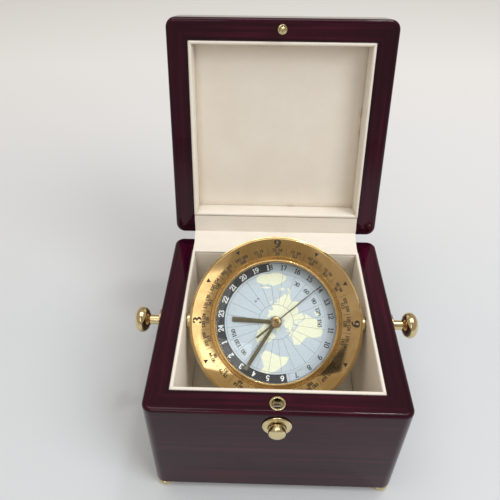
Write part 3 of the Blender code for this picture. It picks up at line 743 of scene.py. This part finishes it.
def bezel():
    lip = GLASS_RING_LOW.z - GAP
    aperture = RING_RADIUS + GAP
    spigot = 45.3 * MM
    foot = BEZEL_LOW.z
    back = local_box("drum_case", DIAL)[1].z + GAP
    outline = [(aperture, lip, 0.15 * MM), (37.7 * MM, lip, 0.15 * MM),
               (37.95 * MM, bezel_face(38 * MM), 0.05 * MM),
               (TRACK_RADIUS - 0.15 * MM, bezel_face(38 * MM), 0.05 * MM),
               (TRACK_RADIUS + 0.2 * MM, bezel_face(TRACK_RADIUS + 0.2 * MM), 0.1 * MM),
               (*FACE_OUTER, 0.3 * MM), (BEZEL_RADIUS - 0.75 * MM, back + 1.15 * MM, 0.1 * MM),
               (BEZEL_RADIUS - 0.75 * MM, back + 0.85 * MM, 0.1 * MM),
               (BEZEL_RADIUS, back + 0.6 * MM, 0.2 * MM),
               (BEZEL_RADIUS, back, 0.15 * MM), (spigot, back), (spigot, foot), (spigot - 1.7 * MM, foot),
               (spigot - 1.7 * MM, back - 0.6 * MM), (aperture, back - 0.6 * MM)]
    piece("bezel_plate", turned(outline, 160), GOLD, "clock_head", DIAL, ["bezel"])
    track = [(38.0 * MM, bezel_face(38 * MM) + 0.012 * MM),
             (TRACK_RADIUS - 0.2 * MM, bezel_face(38 * MM) + 0.012 * MM),
             (TRACK_RADIUS - 0.2 * MM, bezel_face(38 * MM) - 0.05 * MM),
             (38.0 * MM, bezel_face(38 * MM) - 0.05 * MM)]
    piece("minute_track", turned(track, 160), TRACK_GOLD, "clock_head", DIAL)

    low, high = GLASS_RING_LOW.z, GLASS_RING_HIGH.z
    land = GLASS_HIGH.x + GAP
    outline = [(RING_RADIUS, high - 0.45 * MM, 0.15 * MM), (RING_RADIUS + 0.4 * MM, high, 0.2 * MM),
               (land + 0.1 * MM, high, 0.25 * MM), (land + 0.8 * MM, high - 0.8 * MM, 0.3 * MM),
               (land + 0.8 * MM, low, 0.1 * MM), (land, low), (land, low + 1.5 * MM),
               (RING_RADIUS, low + 1.5 * MM)]
    piece("glass_rim", turned(outline, 160), GOLD, "clock_head", DIAL, ["glass_ring"])
    outline = [(aperture - 0.32 * MM, GLASS_LOW.z - 0.15 * MM, 0.05 * MM),
               (aperture - 0.05 * MM, GLASS_LOW.z - 0.15 * MM),
               (aperture - 0.05 * MM, RING_HIGH.z + 0.25 * MM),
               (aperture - 0.32 * MM, RING_HIGH.z + 0.25 * MM)]
    piece("reflector_ring", turned(outline, 160), SILVER, "clock_head", DIAL)
    outline = [(0, GLASS_HIGH.z), (GLASS_HIGH.x, GLASS_HIGH.z, 0.15 * MM),
               (GLASS_HIGH.x, GLASS_LOW.z, 0.15 * MM),
               (0, GLASS_LOW.z)]
    crystal = piece("crystal", turned(outline, 128), GLASS, "clock_head", DIAL, ["glass"])
    crystal.visible_shadow = False


# Ink: flat figures and lines on the dial, in the dial's own X and Y ----------------------

def clockwise(radius, angle):
    return Vector((radius * sin(angle), radius * cos(angle)))


class Ink:
    """Gathers one colour's figures and lines, each a thin layer on the face whose height is given."""

    def __init__(self, height):
        self.bm = bmesh.new()
        self.height = height

    def vert(self, point):
        return self.bm.verts.new((point[0], point[1], self.height(hypot(point[0], point[1])) + INK))

    def fill(self, outline):
        self.bm.faces.new([self.vert(point) for point in outline])

    def ribbon(self, path, widths, closed=False):
        """A line along path, widths wide at its points."""
        count = len(path)
        rows = []
        for i, point in enumerate(path):
            before = path[i - 1] if closed or i else point
            after = path[(i + 1) % count] if closed or i < count - 1 else point
            along = (after - before).normalized()
            out = Vector((-along.y, along.x)) * widths[i] / 2
            rows.append((self.vert(point + out), self.vert(point - out)))
        pairs = list(zip(rows, rows[1:])) + ([(rows[-1], rows[0])] if closed else [])
        for first, second in pairs:
            self.bm.faces.new((first[0], first[1], second[1], second[0]))

    def circle(self, radius, width, start=0.0, end=2 * pi):
        whole = end - start >= 2 * pi - 0.001
        steps = max(8, ceil((end - start) / radians(2.5)))
        points = [clockwise(radius, start + (end - start) * i / steps) for i in range(steps + (not whole))]
        self.ribbon(points, [width] * len(points), whole)

    def spoke(self, angle, inner, outer, width):
        self.ribbon([clockwise(inner, angle), clockwise(outer, angle)], [width, width])

    def write(self, text, radius, angle, size, outwards=True, thick=0.15, thin=0.05, wide=1.0):
        """Figures set round the dial about an angle, with their tops outwards or inwards."""
        steps = [GLYPH_WIDTH.get(letter, 0.62) * size * wide for letter in text]
        way = 1 if outwards else -1
        along = -sum(steps) / 2
        for letter, step in zip(text, steps):
            middle = angle + way * (along + step / 2) / radius
            right = Vector((cos(middle), -sin(middle))) * way
            up = Vector((sin(middle), cos(middle))) * way
            centre = clockwise(radius, middle)
            for stroke in GLYPHS[letter]:
                self.glyph_stroke(stroke, centre, right * wide, up, size, thick, thin)
            along += step

    def glyph_stroke(self, stroke, centre, right, up, size, thick, thin):
        def place(point):
            return centre + (right * (point[0] - 0.29) + up * (point[1] - 0.5)) * size

        if stroke[0] == "dot":
            _, x, y, radius = stroke
            self.fill([place((x + radius * cos(a * pi / 5),
                              y + radius * sin(a * pi / 5))) for a in range(10)])
            return
        closed = False
        if stroke[0] == "line":
            points = [Vector(stroke[1:3]), Vector(stroke[3:5])]
        else:
            _, x, y, rx, ry, start, end = stroke
            closed = abs(end - start) >= 360
            steps = max(6, int(abs(end - start) / 20))
            points = [Vector((x + rx * cos(radians(start + (end - start) * i / steps)),
                              y + ry * sin(radians(start + (end - start) * i / steps))))
                      for i in range(steps + (not closed))]
        widths = []
        count = len(points)
        for i in range(count):
            before = points[i - 1] if closed or i else points[i]
            after = points[(i + 1) % count] if closed or i < count - 1 else points[i]
            along = (after - before).normalized()
            widths.append((thin + (thick - thin) * abs(along.y) ** 1.5) * size)
        self.ribbon([place(point) for point in points], widths, closed)

    def piece(self, name, material, body, slot):
        mesh = mesh_from(self.bm, name)
        up = sum(face.normal.z for face in mesh.polygons)
        if up < 0:
            mesh.flip_normals()
        obj = piece(name, mesh, material, body, DIAL)
        mesh.shade_flat()
        solid = obj.modifiers.new("Layer of ink", "SOLIDIFY")
        solid.thickness = INK
        solid.offset = -1
        return obj


# Figures in a cell one unit high: lines are x, y, x, y; arcs are centre, radii, and start and end in degrees
GLYPHS = {
    "0": [("arc", 0.29, 0.50, 0.24, 0.46, 90, 450)],
    "1": [("line", 0.30, 0.03, 0.30, 0.97), ("line", 0.31, 0.95, 0.12, 0.80),
          ("line", 0.13, 0.04, 0.47, 0.04)],
    "2": [("arc", 0.28, 0.70, 0.23, 0.26, 165, -42), ("line", 0.45, 0.53, 0.06, 0.07),
          ("line", 0.05, 0.06, 0.52, 0.06), ("line", 0.50, 0.05, 0.52, 0.22), ("dot", 0.11, 0.73, 0.085)],
    "3": [("arc", 0.25, 0.745, 0.21, 0.215, 150, -88), ("arc", 0.26, 0.275, 0.25, 0.235, 88, -150),
          ("dot", 0.11, 0.80, 0.085), ("dot", 0.10, 0.20, 0.09)],
    "4": [("line", 0.39, 0.03, 0.39, 0.97), ("line", 0.39, 0.96, 0.05, 0.33),
          ("line", 0.04, 0.31, 0.54, 0.31),
          ("line", 0.28, 0.04, 0.50, 0.04)],
    "5": [("line", 0.47, 0.92, 0.14, 0.92), ("line", 0.14, 0.94, 0.12, 0.52),
          ("arc", 0.27, 0.31, 0.24, 0.27, 128, -150),
          ("dot", 0.10, 0.21, 0.085)],
    "6": [("arc", 0.29, 0.30, 0.23, 0.26, 90, 450), ("arc", 0.52, 0.32, 0.46, 0.63, 180, 104),
          ("dot", 0.44, 0.86, 0.08)],
    "7": [("line", 0.07, 0.92, 0.52, 0.92), ("line", 0.08, 0.94, 0.07, 0.76),
          ("line", 0.51, 0.92, 0.24, 0.03)],
    "8": [("arc", 0.29, 0.745, 0.19, 0.205, 90, 450), ("arc", 0.29, 0.275, 0.235, 0.235, 90, 450)],
    "9": [("arc", 0.29, 0.70, 0.23, 0.26, 90, 450), ("arc", 0.06, 0.68, 0.46, 0.63, 0, -76),
          ("dot", 0.14, 0.14, 0.08)],
    " ": [],
}
GLYPH_WIDTH = {"1": 0.50, " ": 0.35}


def bezel_print():
    """The hours, their triangles, the zone sectors with two lines of longitudes, and the minute ticks."""
    black, brown = Ink(bezel_face), Ink(bezel_face)
    for angle, text, outwards in ((0, "6", False), (90, "9", True), (180, "12", True), (270, "3", True)):
        black.write(text, 47.6 * MM, radians(angle), 5.3 * MM, outwards, 0.27, 0.08, 1.2)
    for hour in range(12):
        if hour % 3:
            angle = radians(30 * hour)
            tip = 46.2 * MM
            base = 48.8 * MM
            black.fill([clockwise(tip, angle), clockwise(base, angle - 1.35 * MM / base),
                        clockwise(base, angle + 1.35 * MM / base)])
    for sector in range(24):
        middle = radians(15 * sector)
        longitude = (15 * sector + 15) % 180 + 15
        brown.write(f"{longitude} {longitude + 4}", 43.7 * MM, middle, 2.0 * MM, True, 0.27, 0.17, 1.12)
        brown.write(f"{longitude + 8}", 41.35 * MM, middle, 2.0 * MM, True, 0.27, 0.17, 1.12)
        brown.spoke(middle + radians(7.5), 40.3 * MM, 45.4 * MM, 0.2 * MM)
    black.piece("bezel_figures", BLACK_INK, "clock_head", "bronze")
    brown.piece("bezel_zones", BROWN_INK, "clock_head", "bronze")
    ticks = Ink(lambda radius: bezel_face(38 * MM))
    for minute in range(60):
        longer = minute % 5 == 0
        ticks.spoke(radians(6 * minute), 38.25 * MM, (39.25 if longer else 38.95) * MM,
                    (0.34 if longer else 0.2) * MM)
    ticks.piece("minute_ticks", BLACK_INK, "clock_head", "bronze")


def hour_ring():
    """The turning 24-hour ring: a dark half with light figures for the night, and a light half by day."""
    outline = [(HUB_HOLE, RING_HIGH.z), (RING_RADIUS, RING_HIGH.z, 0.1 * MM),
               (RING_RADIUS, RING_LOW.z), (HUB_HOLE, RING_LOW.z)]
    piece("hour_ring", turned(outline, 160), DAY, "day_ring", DIAL, ["day_ring"])
    top = RING_HIGH.z

    def face(radius):
        return top

    def hour_angle(hour):
        return RING_MIDNIGHT - radians(15) * hour

    night = Ink(face)
    middle = (MAP_RADIUS + RING_RADIUS) / 2
    night.circle(middle, RING_RADIUS - MAP_RADIUS - 0.1 * MM, hour_angle(6.3), hour_angle(-6))
    night.piece("night_band", BAND_INK, "day_ring", "ring_print")
    light, dark = Ink(lambda radius: top + INK), Ink(face)
    for hour in range(1, 25):
        ink = light if hour <= 6 or hour > 18 else dark
        if hour != 18:
            ink.write(str(hour), middle, hour_angle(hour), 3.2 * MM, True, 0.2, 0.15, 1.05)
    light.write("1", middle, hour_angle(18) - radians(1.75), 3.2 * MM, True, 0.2, 0.15, 1.05)
    dark.write("8", middle, hour_angle(18) + radians(1.6), 3.2 * MM, True, 0.2, 0.15, 1.05)
    light.piece("night_figures", WHITE_INK, "day_ring", "ring_print")
    dark.circle(RING_RADIUS - 0.25 * MM, 0.14 * MM, hour_angle(18), hour_angle(6.3) + 2 * pi)
    dark.piece("day_figures", BLACK_INK, "day_ring", "ring_print")


# Coarse outlines of the large lands, as (longitude, latitude) in degrees
LANDS = {
    "africa": [(-6, 36), (10, 37), (20, 32), (32, 31), (37, 21), (43, 11), (51, 11), (42, -2), (40, -15),
               (33, -26),
               (25, -34), (18, -34), (12, -17), (9, 2), (-8, 5), (-17, 15), (-10, 29)],
    "europe_asia": [(-9, 37), (-9, 43), (0, 46), (-4, 48), (4, 52), (9, 57), (5, 60), (14, 68), (28, 71),
                    (42, 67),
                    (60, 69), (75, 73), (100, 78), (115, 74), (140, 73), (160, 70), (180, 69), (190, 66),
                    (178, 62),
                    (162, 60), (156, 51), (142, 59), (135, 54), (140, 47), (128, 39), (120, 40), (121, 31),
                    (110, 21), (107, 11), (101, 13), (103, 2), (98, 9), (94, 17), (87, 21), (80, 14), (77, 8),
                    (72, 20), (60, 25), (52, 28), (57, 20), (45, 13), (39, 21), (35, 31), (28, 37), (38, 44),
                    (28, 42), (22, 37), (14, 45), (16, 38), (8, 44), (0, 38)],
    "north_america": [(-168, 66), (-156, 71), (-128, 70), (-110, 68), (-95, 72), (-82, 69), (-94, 60),
                      (-82, 53),
                      (-78, 61), (-64, 59), (-56, 52), (-66, 45), (-75, 37), (-81, 31), (-81, 25), (-90, 30),
                      (-97, 26), (-95, 18), (-87, 21), (-83, 10), (-92, 14), (-105, 21), (-112, 29),
                      (-124, 40),
                      (-124, 49), (-135, 58), (-152, 59), (-165, 60)],
    "greenland": [(-44, 60), (-52, 67), (-60, 76), (-40, 83), (-20, 80), (-24, 70), (-38, 65)],
    "south_america": [(-78, 8), (-72, 12), (-60, 8), (-50, 1), (-35, -6), (-39, -15), (-48, -27), (-58, -38),
                      (-65, -44), (-74, -44), (-71, -30), (-76, -14), (-81, -4)],
    "australia": [(112, -24), (115, -16), (121, -10), (128, -6), (134, -9), (138, -14), (142, -12),
                  (147, -19),
                  (150, -28), (148, -38), (142, -42), (133, -39), (126, -41), (117, -40), (111, -33)],
    "indonesia": [(96, 5), (104, -6), (106, -4), (101, 2)],
    "borneo": [(109, 1), (117, 6), (118, -3), (111, -3)],
    "new_guinea": [(131, -1), (141, -3), (150, -10), (140, -8)],
    "japan": [(131, 33), (140, 36), (143, 43), (138, 38)],
    "madagascar": [(44, -17), (50, -14), (47, -25), (44, -24)],
    "britain": [(-5, 50), (1, 52), (-3, 58), (-6, 56)],
}
MAP_EDGE = 135.0


def on_map(longitude, latitude):
    """Where a place is on the dial, by distance from the pole in the middle."""
    return clockwise(MAP_RADIUS * (90 - latitude) / MAP_EDGE, MAP_MERIDIAN - radians(longitude))


def world_map():
    """The map disc: sea, lands, meridians and a polar circle, with longitudes where the photo has words."""
    outline = [(HUB_HOLE, MAP_HIGH.z), (MAP_RADIUS, MAP_HIGH.z, 0.1 * MM), (MAP_RADIUS, MAP_LOW.z),
               (HUB_HOLE, MAP_LOW.z)]
    piece("map_sea_disc", turned(outline, 160), SEA, "clock_head", DIAL, ["map_disc"])
    top = MAP_HIGH.z
    land = Ink(lambda radius: top)
    for outline in LANDS.values():
        points = []
        for (a, b), (c, d) in zip(outline, outline[1:] + outline[:1]):
            steps = max(1, int(hypot(c - a, d - b) / 6))
            for i in range(steps):
                t = i / steps
                lon, lat = a + (c - a) * t, b + (d - b) * t
                lon += 1.6 * noise.noise(Vector((lon * 0.13, lat * 0.13, 1.0)))
                lat += 1.6 * noise.noise(Vector((lon * 0.13, lat * 0.13, 4.0)))
                points.append(on_map(lon, max(lat, -44.5)))
        land.fill(points)
    land.piece("map_lands", LAND, "clock_head", "map_print")
    lines = Ink(lambda radius: top + INK)
    circle = MAP_RADIUS * 0.34
    for hour in range(24):
        lines.spoke(RING_MIDNIGHT - radians(15 * hour), circle, MAP_RADIUS - 1.3 * MM, 0.17 * MM)
    lines.circle(circle, 0.2 * MM)
    lines.circle(MAP_RADIUS - 1.2 * MM, 0.14 * MM)
    lines.piece("map_meridians", GREY_INK, "clock_head", "map_print")
    figures = Ink(lambda radius: top + INK)
    for angle, text in ((28, "30"), (44, "60"), (60, "90"), (75, "120"), (90, "150"), (254, "150"),
                        (240, "120"),
                        (226, "90"), (318, "15 75")):
        size = 1.2 * MM if " " in text else 2.5 * MM
        figures.write(text, (17.5 if " " in text else 26.2) * MM, radians(angle), size, True, 0.24, 0.09, 1.1)
    figures.piece("map_figures", BLACK_INK, "clock_head", "map_print")


def baton(name, node_name, length, widths, heights, material, tail=0.0, tail_widths=None, angle=0.0):
    """A flat hand bevelled to a low ridge, pointing clockwise by angle from the top."""
    bm = bmesh.new()
    low, high = heights

    def bar(start, end, start_width, end_width):
        rows = []
        for y, width in ((start, start_width), (end, end_width)):
            half = width / 2
            rows.append([bm.verts.new(p) for p in ((-half, y, low), (-half, y, high - 0.12 * MM),
                                                   (-half * 0.55, y, high), (half * 0.55, y, high),
                                                   (half, y, high - 0.12 * MM), (half, y, low))])
        count = len(rows[0])
        for i in range(count):
            j = (i + 1) % count
            bm.faces.new((rows[0][i], rows[0][j], rows[1][j], rows[1][i]))
        bm.faces.new(rows[0])
        bm.faces.new(rows[1])

    bar(0, length, *widths)
    if tail:
        bar(-tail, 0, *tail_widths)
    mesh = mesh_from(bm)
    mesh.transform(Matrix.Rotation(-angle, 4, "Z"))
    return piece(name, mesh, material, node_name, DIAL)


def hands():
    """The hands, each on its own turned hub, and the cap in the middle."""
    for name, body, radius, bore, angle, parts in (
            ("hour", "hour_hand", 3.4, 1.82, HOUR_ANGLE, dict(length=26.3 * MM, widths=(2.3 * MM, 3.0 * MM))),
            ("minute", "minute_hand", 2.9, 0.82, MINUTE_ANGLE,
             dict(length=33.5 * MM, widths=(1.8 * MM, 2.4 * MM))),
            ("second", "second_hand", 2.2, 0.0, SECOND_ANGLE,
             dict(length=32.6 * MM, widths=(0.8 * MM, 0.5 * MM), tail=15 * MM,
                  tail_widths=(1.15 * MM, 1.5 * MM)))):
        low, high = local_box(body, DIAL)
        plate = 0.4 * MM
        top = high.z
        baton(f"{name}_baton", body, heights=(top - plate - 0.1 * MM, top - 0.1 * MM), material=BRONZE,
              angle=angle, **parts)
        collar = {"hour": 2.6, "minute": 1.7, "second": 0.72}[name]
        outline = [(bore * MM, top), (radius * MM, top, 0.12 * MM), (radius * MM, top - 0.6 * MM),
                   (collar * MM, top - 0.6 * MM),
                   (collar * MM, low.z), (bore * MM, low.z)]
        piece(f"{name}_hub", turned(outline, 64), BRONZE, body, DIAL, [body])
    high, low, radius = HUB_HIGH.z, HUB_LOW.z, HUB_HIGH.x
    outline = [(0, high - 0.55 * MM), (0.9 * MM, high - 0.5 * MM, 0.1 * MM),
               (1.25 * MM, high - 0.02 * MM, 0.12 * MM),
               (2.3 * MM, high - 0.1 * MM, 0.3 * MM), (radius, low + 0.35 * MM, 0.35 * MM),
               (radius, low, 0.1 * MM), (0, low)]
    piece("hub_button", turned(outline, 64), AGED_BRASS, "second_hand", DIAL, ["hub_cap"])
    outline = [(0, high - 0.35 * MM), (0.75 * MM, high - 0.42 * MM, 0.15 * MM),
               (0.85 * MM, high - 0.7 * MM), (0, high - 0.7 * MM)]
    piece("hub_stud", turned(outline, 32), BRONZE, "second_hand", DIAL)


# Brass fittings --------------------------------------------------------------------------

def knobs():
    """The clamping knobs: flattened balls on shanks, the side bushes and the drum's bosses."""
    low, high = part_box("knob_right")
    radius = (high.z - low.z) / 2
    end = high.x
    half = 4.7 * MM
    middle = end - half
    shank = 3 * MM
    ball = [(0, end)]
    for step in range(1, 29):
        angle = radians(157.5) * step / 28
        ball.append((radius * sin(angle) ** 0.8, middle + half * cos(angle)))
    inner = low.x
    boss_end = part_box("trunnion_boss_right")[1].x
    ball += [(shank + 0.5 * MM, middle - half + 0.1 * MM, 0.2 * MM), (shank, middle - half - 0.3 * MM),
             (shank, boss_end + GAP, 0.2 * MM), (2.5 * MM, boss_end + GAP),
             (2.5 * MM, inner + 0.4 * MM), (2.1 * MM, inner), (0, inner)]
    bush_low, bush_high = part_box("side_bush_right")
    flange = bush_low.x, bush_high.x
    face = HALF + GAP
    bush = [(3.06 * MM, flange[1], 0.15 * MM), (6.1 * MM, flange[1], 0.5 * MM),
            (6.8 * MM, face + 0.5 * MM, 0.15 * MM),
            (6.8 * MM, face), (4.5 * MM, face), (4.5 * MM, flange[0]), (3.06 * MM, flange[0])]
    boss_low, boss_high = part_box("trunnion_boss_right")
    boss = [(2.56 * MM, boss_high.x), (4.6 * MM, boss_high.x, 0.2 * MM),
            (5 * MM, boss_high.x - 0.4 * MM, 0.2 * MM),
            (5 * MM, boss_low.x), (2.56 * MM, boss_low.x)]
    for side, turn in (("left", FACING_LEFT), ("right", FACING_RIGHT)):
        at_pivot = Matrix.Translation((0, 0, PIVOT.z)) @ turn
        piece(f"ball_knob_{side}", turned(ball, 96), BRASS, f"knob_{side}", at_pivot,
              [f"knob_{side}"])
        piece(f"side_washer_{side}", turned(bush, 96), PINK_BRASS, "box", at_pivot,
              [f"side_bush_{side}"])
        piece(f"drum_boss_{side}", turned(boss, 64), BRASS, "clock_head", at_pivot,
              [f"trunnion_boss_{side}"])


def catch():
    """The button in its escutcheon, the socket in the rim and the lid's stud."""
    low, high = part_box("button")
    button_z = (low.z + high.z) / 2
    front = Matrix.Translation((0, -HALF, button_z)) @ FACING_FRONT
    out = -low.y - HALF
    button = [(0, out)]
    for step in range(1, 9):
        angle = radians(90) * step / 8
        button.append((4.6 * MM * sin(angle) ** 0.85, out - 1.7 * MM * (1 - cos(angle))))
    button += [(4.6 * MM, 1.9 * MM), (2.5 * MM, 1.9 * MM), (2.5 * MM, -0.8 * MM), (0, -0.8 * MM)]
    piece("push_button", turned(button, 96), BRASS, "release_button", front, ["button"])
    plate = [(4.9 * MM, 1.5 * MM, 0.15 * MM), (6.9 * MM, 1.5 * MM, 0.5 * MM), (7.8 * MM, 0.8 * MM, 0.3 * MM),
             (7.8 * MM, GAP, 0.1 * MM), (4.9 * MM, GAP)]
    piece("button_plate", turned(plate, 96), BRASS, "box", front, ["button_escutcheon"])

    low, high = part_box("catch_socket")
    at_socket = Matrix.Translation((0, (low.y + high.y) / 2, 0))
    socket = [(3 * MM, high.z - 0.25 * MM, 0.15 * MM), (3.3 * MM, high.z, 0.12 * MM),
              (4.05 * MM, high.z, 0.15 * MM),
              (4.3 * MM, high.z - 0.2 * MM, 0.1 * MM), (4.3 * MM, low.z), (3 * MM, low.z)]
    piece("stud_socket", turned(socket, 64), BRASS, "box", at_socket, ["catch_socket"])

    low, high = local_box("lid_stud", LID)
    at_stud = LID @ Matrix.Translation((0, (low.y + high.y) / 2, 0))
    rim = high.z - 1.2 * MM
    head = low.z + 1.6 * MM
    stud = [(0, high.z), (2.9 * MM, high.z), (2.9 * MM, rim - 0.05 * MM, 0.3 * MM),
            (2.2 * MM, rim - 0.2 * MM, 0.2 * MM),
            (1.3 * MM, rim - 0.2 * MM, 0.15 * MM), (1.3 * MM, head), (2 * MM, head, 0.1 * MM),
            (2 * MM, head - 0.9 * MM, 0.3 * MM),
            (1.2 * MM, low.z, 0.3 * MM), (0, low.z)]
    piece("catch_stud", turned(stud, 48), BRASS, "lid", at_stud, ["lid_stud"])


def feet():
    for number in range(1, 5):
        low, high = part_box(f"foot_{number}")
        centre = Matrix.Translation(((low.x + high.x) / 2, (low.y + high.y) / 2, low.z))
        foot = [(0, 3.7 * MM), (3.8 * MM, 3.7 * MM, 0.1 * MM), (4.7 * MM, 3.3 * MM, 0.4 * MM),
                (5 * MM, 2 * MM, 0.5 * MM),
                (4.6 * MM, 0.6 * MM, 0.4 * MM), (3.4 * MM, 0, 0.3 * MM), (0, 0)]
        piece(f"turned_foot_{number}", turned(foot, 64), BRASS, "box", centre, [f"foot_{number}"])


def drum():
    """The drum, its back cover with a beaded edge, and slotted screws."""
    low, high = local_box("drum_case", DIAL)
    radius = high.x
    case = [(radius - 1.8 * MM, high.z), (radius, high.z, 0.1 * MM), (radius, low.z + 3 * MM, 0.1 * MM),
            (radius - 0.3 * MM, low.z + 2.8 * MM, 0.1 * MM), (radius - 0.3 * MM, low.z + 2.2 * MM, 0.1 * MM),
            (radius, low.z + 2 * MM, 0.1 * MM), (radius, low.z), (radius - 1.8 * MM, low.z)]
    piece("drum_shell", turned(case, 128), BRASS, "clock_head", DIAL, ["drum_case"])
    low, high = local_box("back_cover", DIAL)
    cover = [(0, high.z), (radius, high.z), (radius, low.z + 0.8 * MM, 0.4 * MM),
             (radius - 0.9 * MM, low.z, 0.4 * MM),
             (radius - 2.2 * MM, low.z, 0.1 * MM), (radius - 2.4 * MM, low.z + 0.25 * MM, 0.1 * MM),
             (0, low.z + 0.25 * MM)]
    side = local_box("movement_case", DIAL)[1].x + GAP
    plate = carved(turned(cover, 128), box_tool((-side, -side, low.z - OVERCUT),
                                                (side, side, high.z + OVERCUT)))
    piece("drum_back", plate, BRASS, "clock_head", DIAL, ["back_cover"])
    for number in range(1, 4):
        low, high = local_box(f"cover_screw_{number}", DIAL)
        head = [(0, high.z), (2 * MM, high.z), (2 * MM, high.z - 0.5 * MM, 0.2 * MM),
                (1.4 * MM, low.z, 0.3 * MM), (0, low.z)]
        slot = box_tool((-0.25 * MM, -3 * MM, low.z - MM), (0.25 * MM, 3 * MM, low.z + 0.35 * MM))
        place = DIAL @ Matrix.Translation(((low.x + high.x) / 2, (low.y + high.y) / 2, 0))
        piece(f"slotted_screw_{number}", carved(turned(head, 32), slot), STEEL, "clock_head", place,
              [f"cover_screw_{number}"])


def carried_over():
    """Finishes for the CAD nodes that show as they are."""
    for name, material in (("box_bottom_panel", VELOUR), ("hinge_box_leaf", OLD_BRASS),
                           ("hinge_lid_leaf", OLD_BRASS),
                           ("hinge_pin", STEEL), ("catch_plate", STEEL), ("catch_spring", STEEL),
                           ("dial_plate", GREY_PLASTIC),
                           ("movement_case", BLACK_PLASTIC), ("centre_bush", OLD_BRASS), ("battery", CELL),
                           ("battery_contact_left", STEEL), ("battery_contact_right", STEEL),
                           ("set_knob", BLACK_PLASTIC)):
        mesh = NODES[name].data
        mesh.materials.clear()
        mesh.materials.append(material)
        mesh.shade_smooth()
        mesh.set_sharp_from_angle(angle=radians(35))


# Stage, lights and camera ----------------------------------------------------------------

def stage():
    bm = bmesh.new()
    bmesh.ops.create_grid(bm, x_segments=1, y_segments=1, size=4)
    floor = bpy.data.objects.new("floor", mesh_from(bm))
    SCENE.collection.objects.link(floor)
    floor.location.z = CAD_BOUNDS[0].z
    linen = surface("pale_floor", (0.66, 0.68, 0.705), 0.9)
    # Painted light: the floor is painted darker and cooler near the front and paler and warmer towards the
    # back
    split = node(linen, "SeparateXYZ")
    wire(linen, own_coordinates(linen, (1, 1, 1)), split.inputs["Vector"])
    set_colour(linen, blend_colours(linen, span(linen, split.outputs["Y"], 0.05, 0.6, 0, 1),
                                    (0.66, 0.68, 0.705),
                                    (0.88, 0.875, 0.87)))
    floor.data.materials.append(linen)
    world = SCENE.world or bpy.data.worlds.new("studio")
    SCENE.world = world
    world.use_nodes = True
    background = world.node_tree.nodes["Background"]
    background.inputs["Color"].default_value = (1.0, 0.88, 0.76, 1)
    background.inputs["Strength"].default_value = 0.42


def softbox(name, direction, distance, size, radiance, colour, reflected=True):
    """An area light aimed at the clock from a direction, and mirrored in polished pieces if reflected."""
    data = bpy.data.lights.new(name, "AREA")
    data.shape = "RECTANGLE"
    data.size, data.size_y = size
    data.energy = radiance * pi * size[0] * size[1]
    data.color = colour
    lamp = bpy.data.objects.new(name, data)
    SCENE.collection.objects.link(lamp)
    way = Vector(direction).normalized()
    lamp.location = PIVOT + way * distance
    lamp.rotation_euler = (-way).to_track_quat("-Z", "Y").to_euler()
    lamp.visible_glossy = reflected


def from_dial(angle, away):
    """A direction so many degrees away from the dial's axis, towards an angle clockwise round it."""
    radial = Vector((*clockwise(sin(radians(away)), radians(angle)), cos(radians(away))))
    return DIAL.to_3x3() @ radial


def lights():
    softbox("key", (0.58, -0.43, 0.72), 1.4, (0.7, 0.7), 5.5, (0.93, 0.97, 1.0), False)
    softbox("glint", (0.24, 0.14, 0.96), 2.0, (0.08, 0.22), 60.0, (0.97, 0.98, 1.0))
    softbox("overhead", (0, 0.03, 1), 2.0, (2.2, 1.3), 2.1, (0.92, 0.97, 1.0))
    softbox("window", from_dial(222, 17), 1.25, (0.26, 0.34), 1.9, (1.0, 1.0, 0.97))
    softbox("wall", from_dial(280, 18), 1.4, (0.26, 0.5), 1.15, (1.0, 0.97, 0.90))
    card("flag", from_dial(133, 17), 0.6, 0.07, (0.03, 0.028, 0.026))
    card("brown_card", from_dial(2, 17), 0.6, 0.12, (0.42, 0.35, 0.25))


def card(name, direction, distance, half_width, colour):
    """A card seen only in reflections, for the dark patches that polished gold picks up."""
    bm = bmesh.new()
    bmesh.ops.create_grid(bm, x_segments=1, y_segments=1, size=half_width)
    way = direction.normalized()
    sheet = bpy.data.objects.new(name, mesh_from(bm))
    SCENE.collection.objects.link(sheet)
    sheet.location = PIVOT + way * distance
    sheet.rotation_euler = way.to_track_quat("Z", "Y").to_euler()
    sheet.data.materials.append(surface(f"{name}_cloth", colour, 0.9))
    for ray in ("camera", "diffuse", "shadow", "transmission"):
        setattr(sheet, f"visible_{ray}", False)


def camera():
    data = bpy.data.cameras.new("camera")
    data.sensor_width = 36
    data.lens = 37.6
    data.clip_start = 0.01
    eye = bpy.data.objects.new("camera", data)
    SCENE.collection.objects.link(eye)
    eye.location = (-0.0112, -0.2183, 0.3082)
    down, left, roll = radians(40.02), radians(1.29), radians(0.39)
    forward = Vector((-sin(left) * cos(down), cos(left) * cos(down), -sin(down)))
    turn = forward.to_track_quat("-Z", "Y").to_matrix().to_4x4() @ Matrix.Rotation(roll, 4, "Z")
    eye.rotation_euler = turn.to_euler()
    SCENE.camera = eye


SCENE.view_settings.view_transform = "Standard"
camera()
stage()
lights()
lacquered_box()
lacquered_lid()
linings()
pads()
hinge_flap()
bezel()
bezel_print()
hour_ring()
world_map()
hands()
knobs()
catch()
feet()
drum()
carried_over()
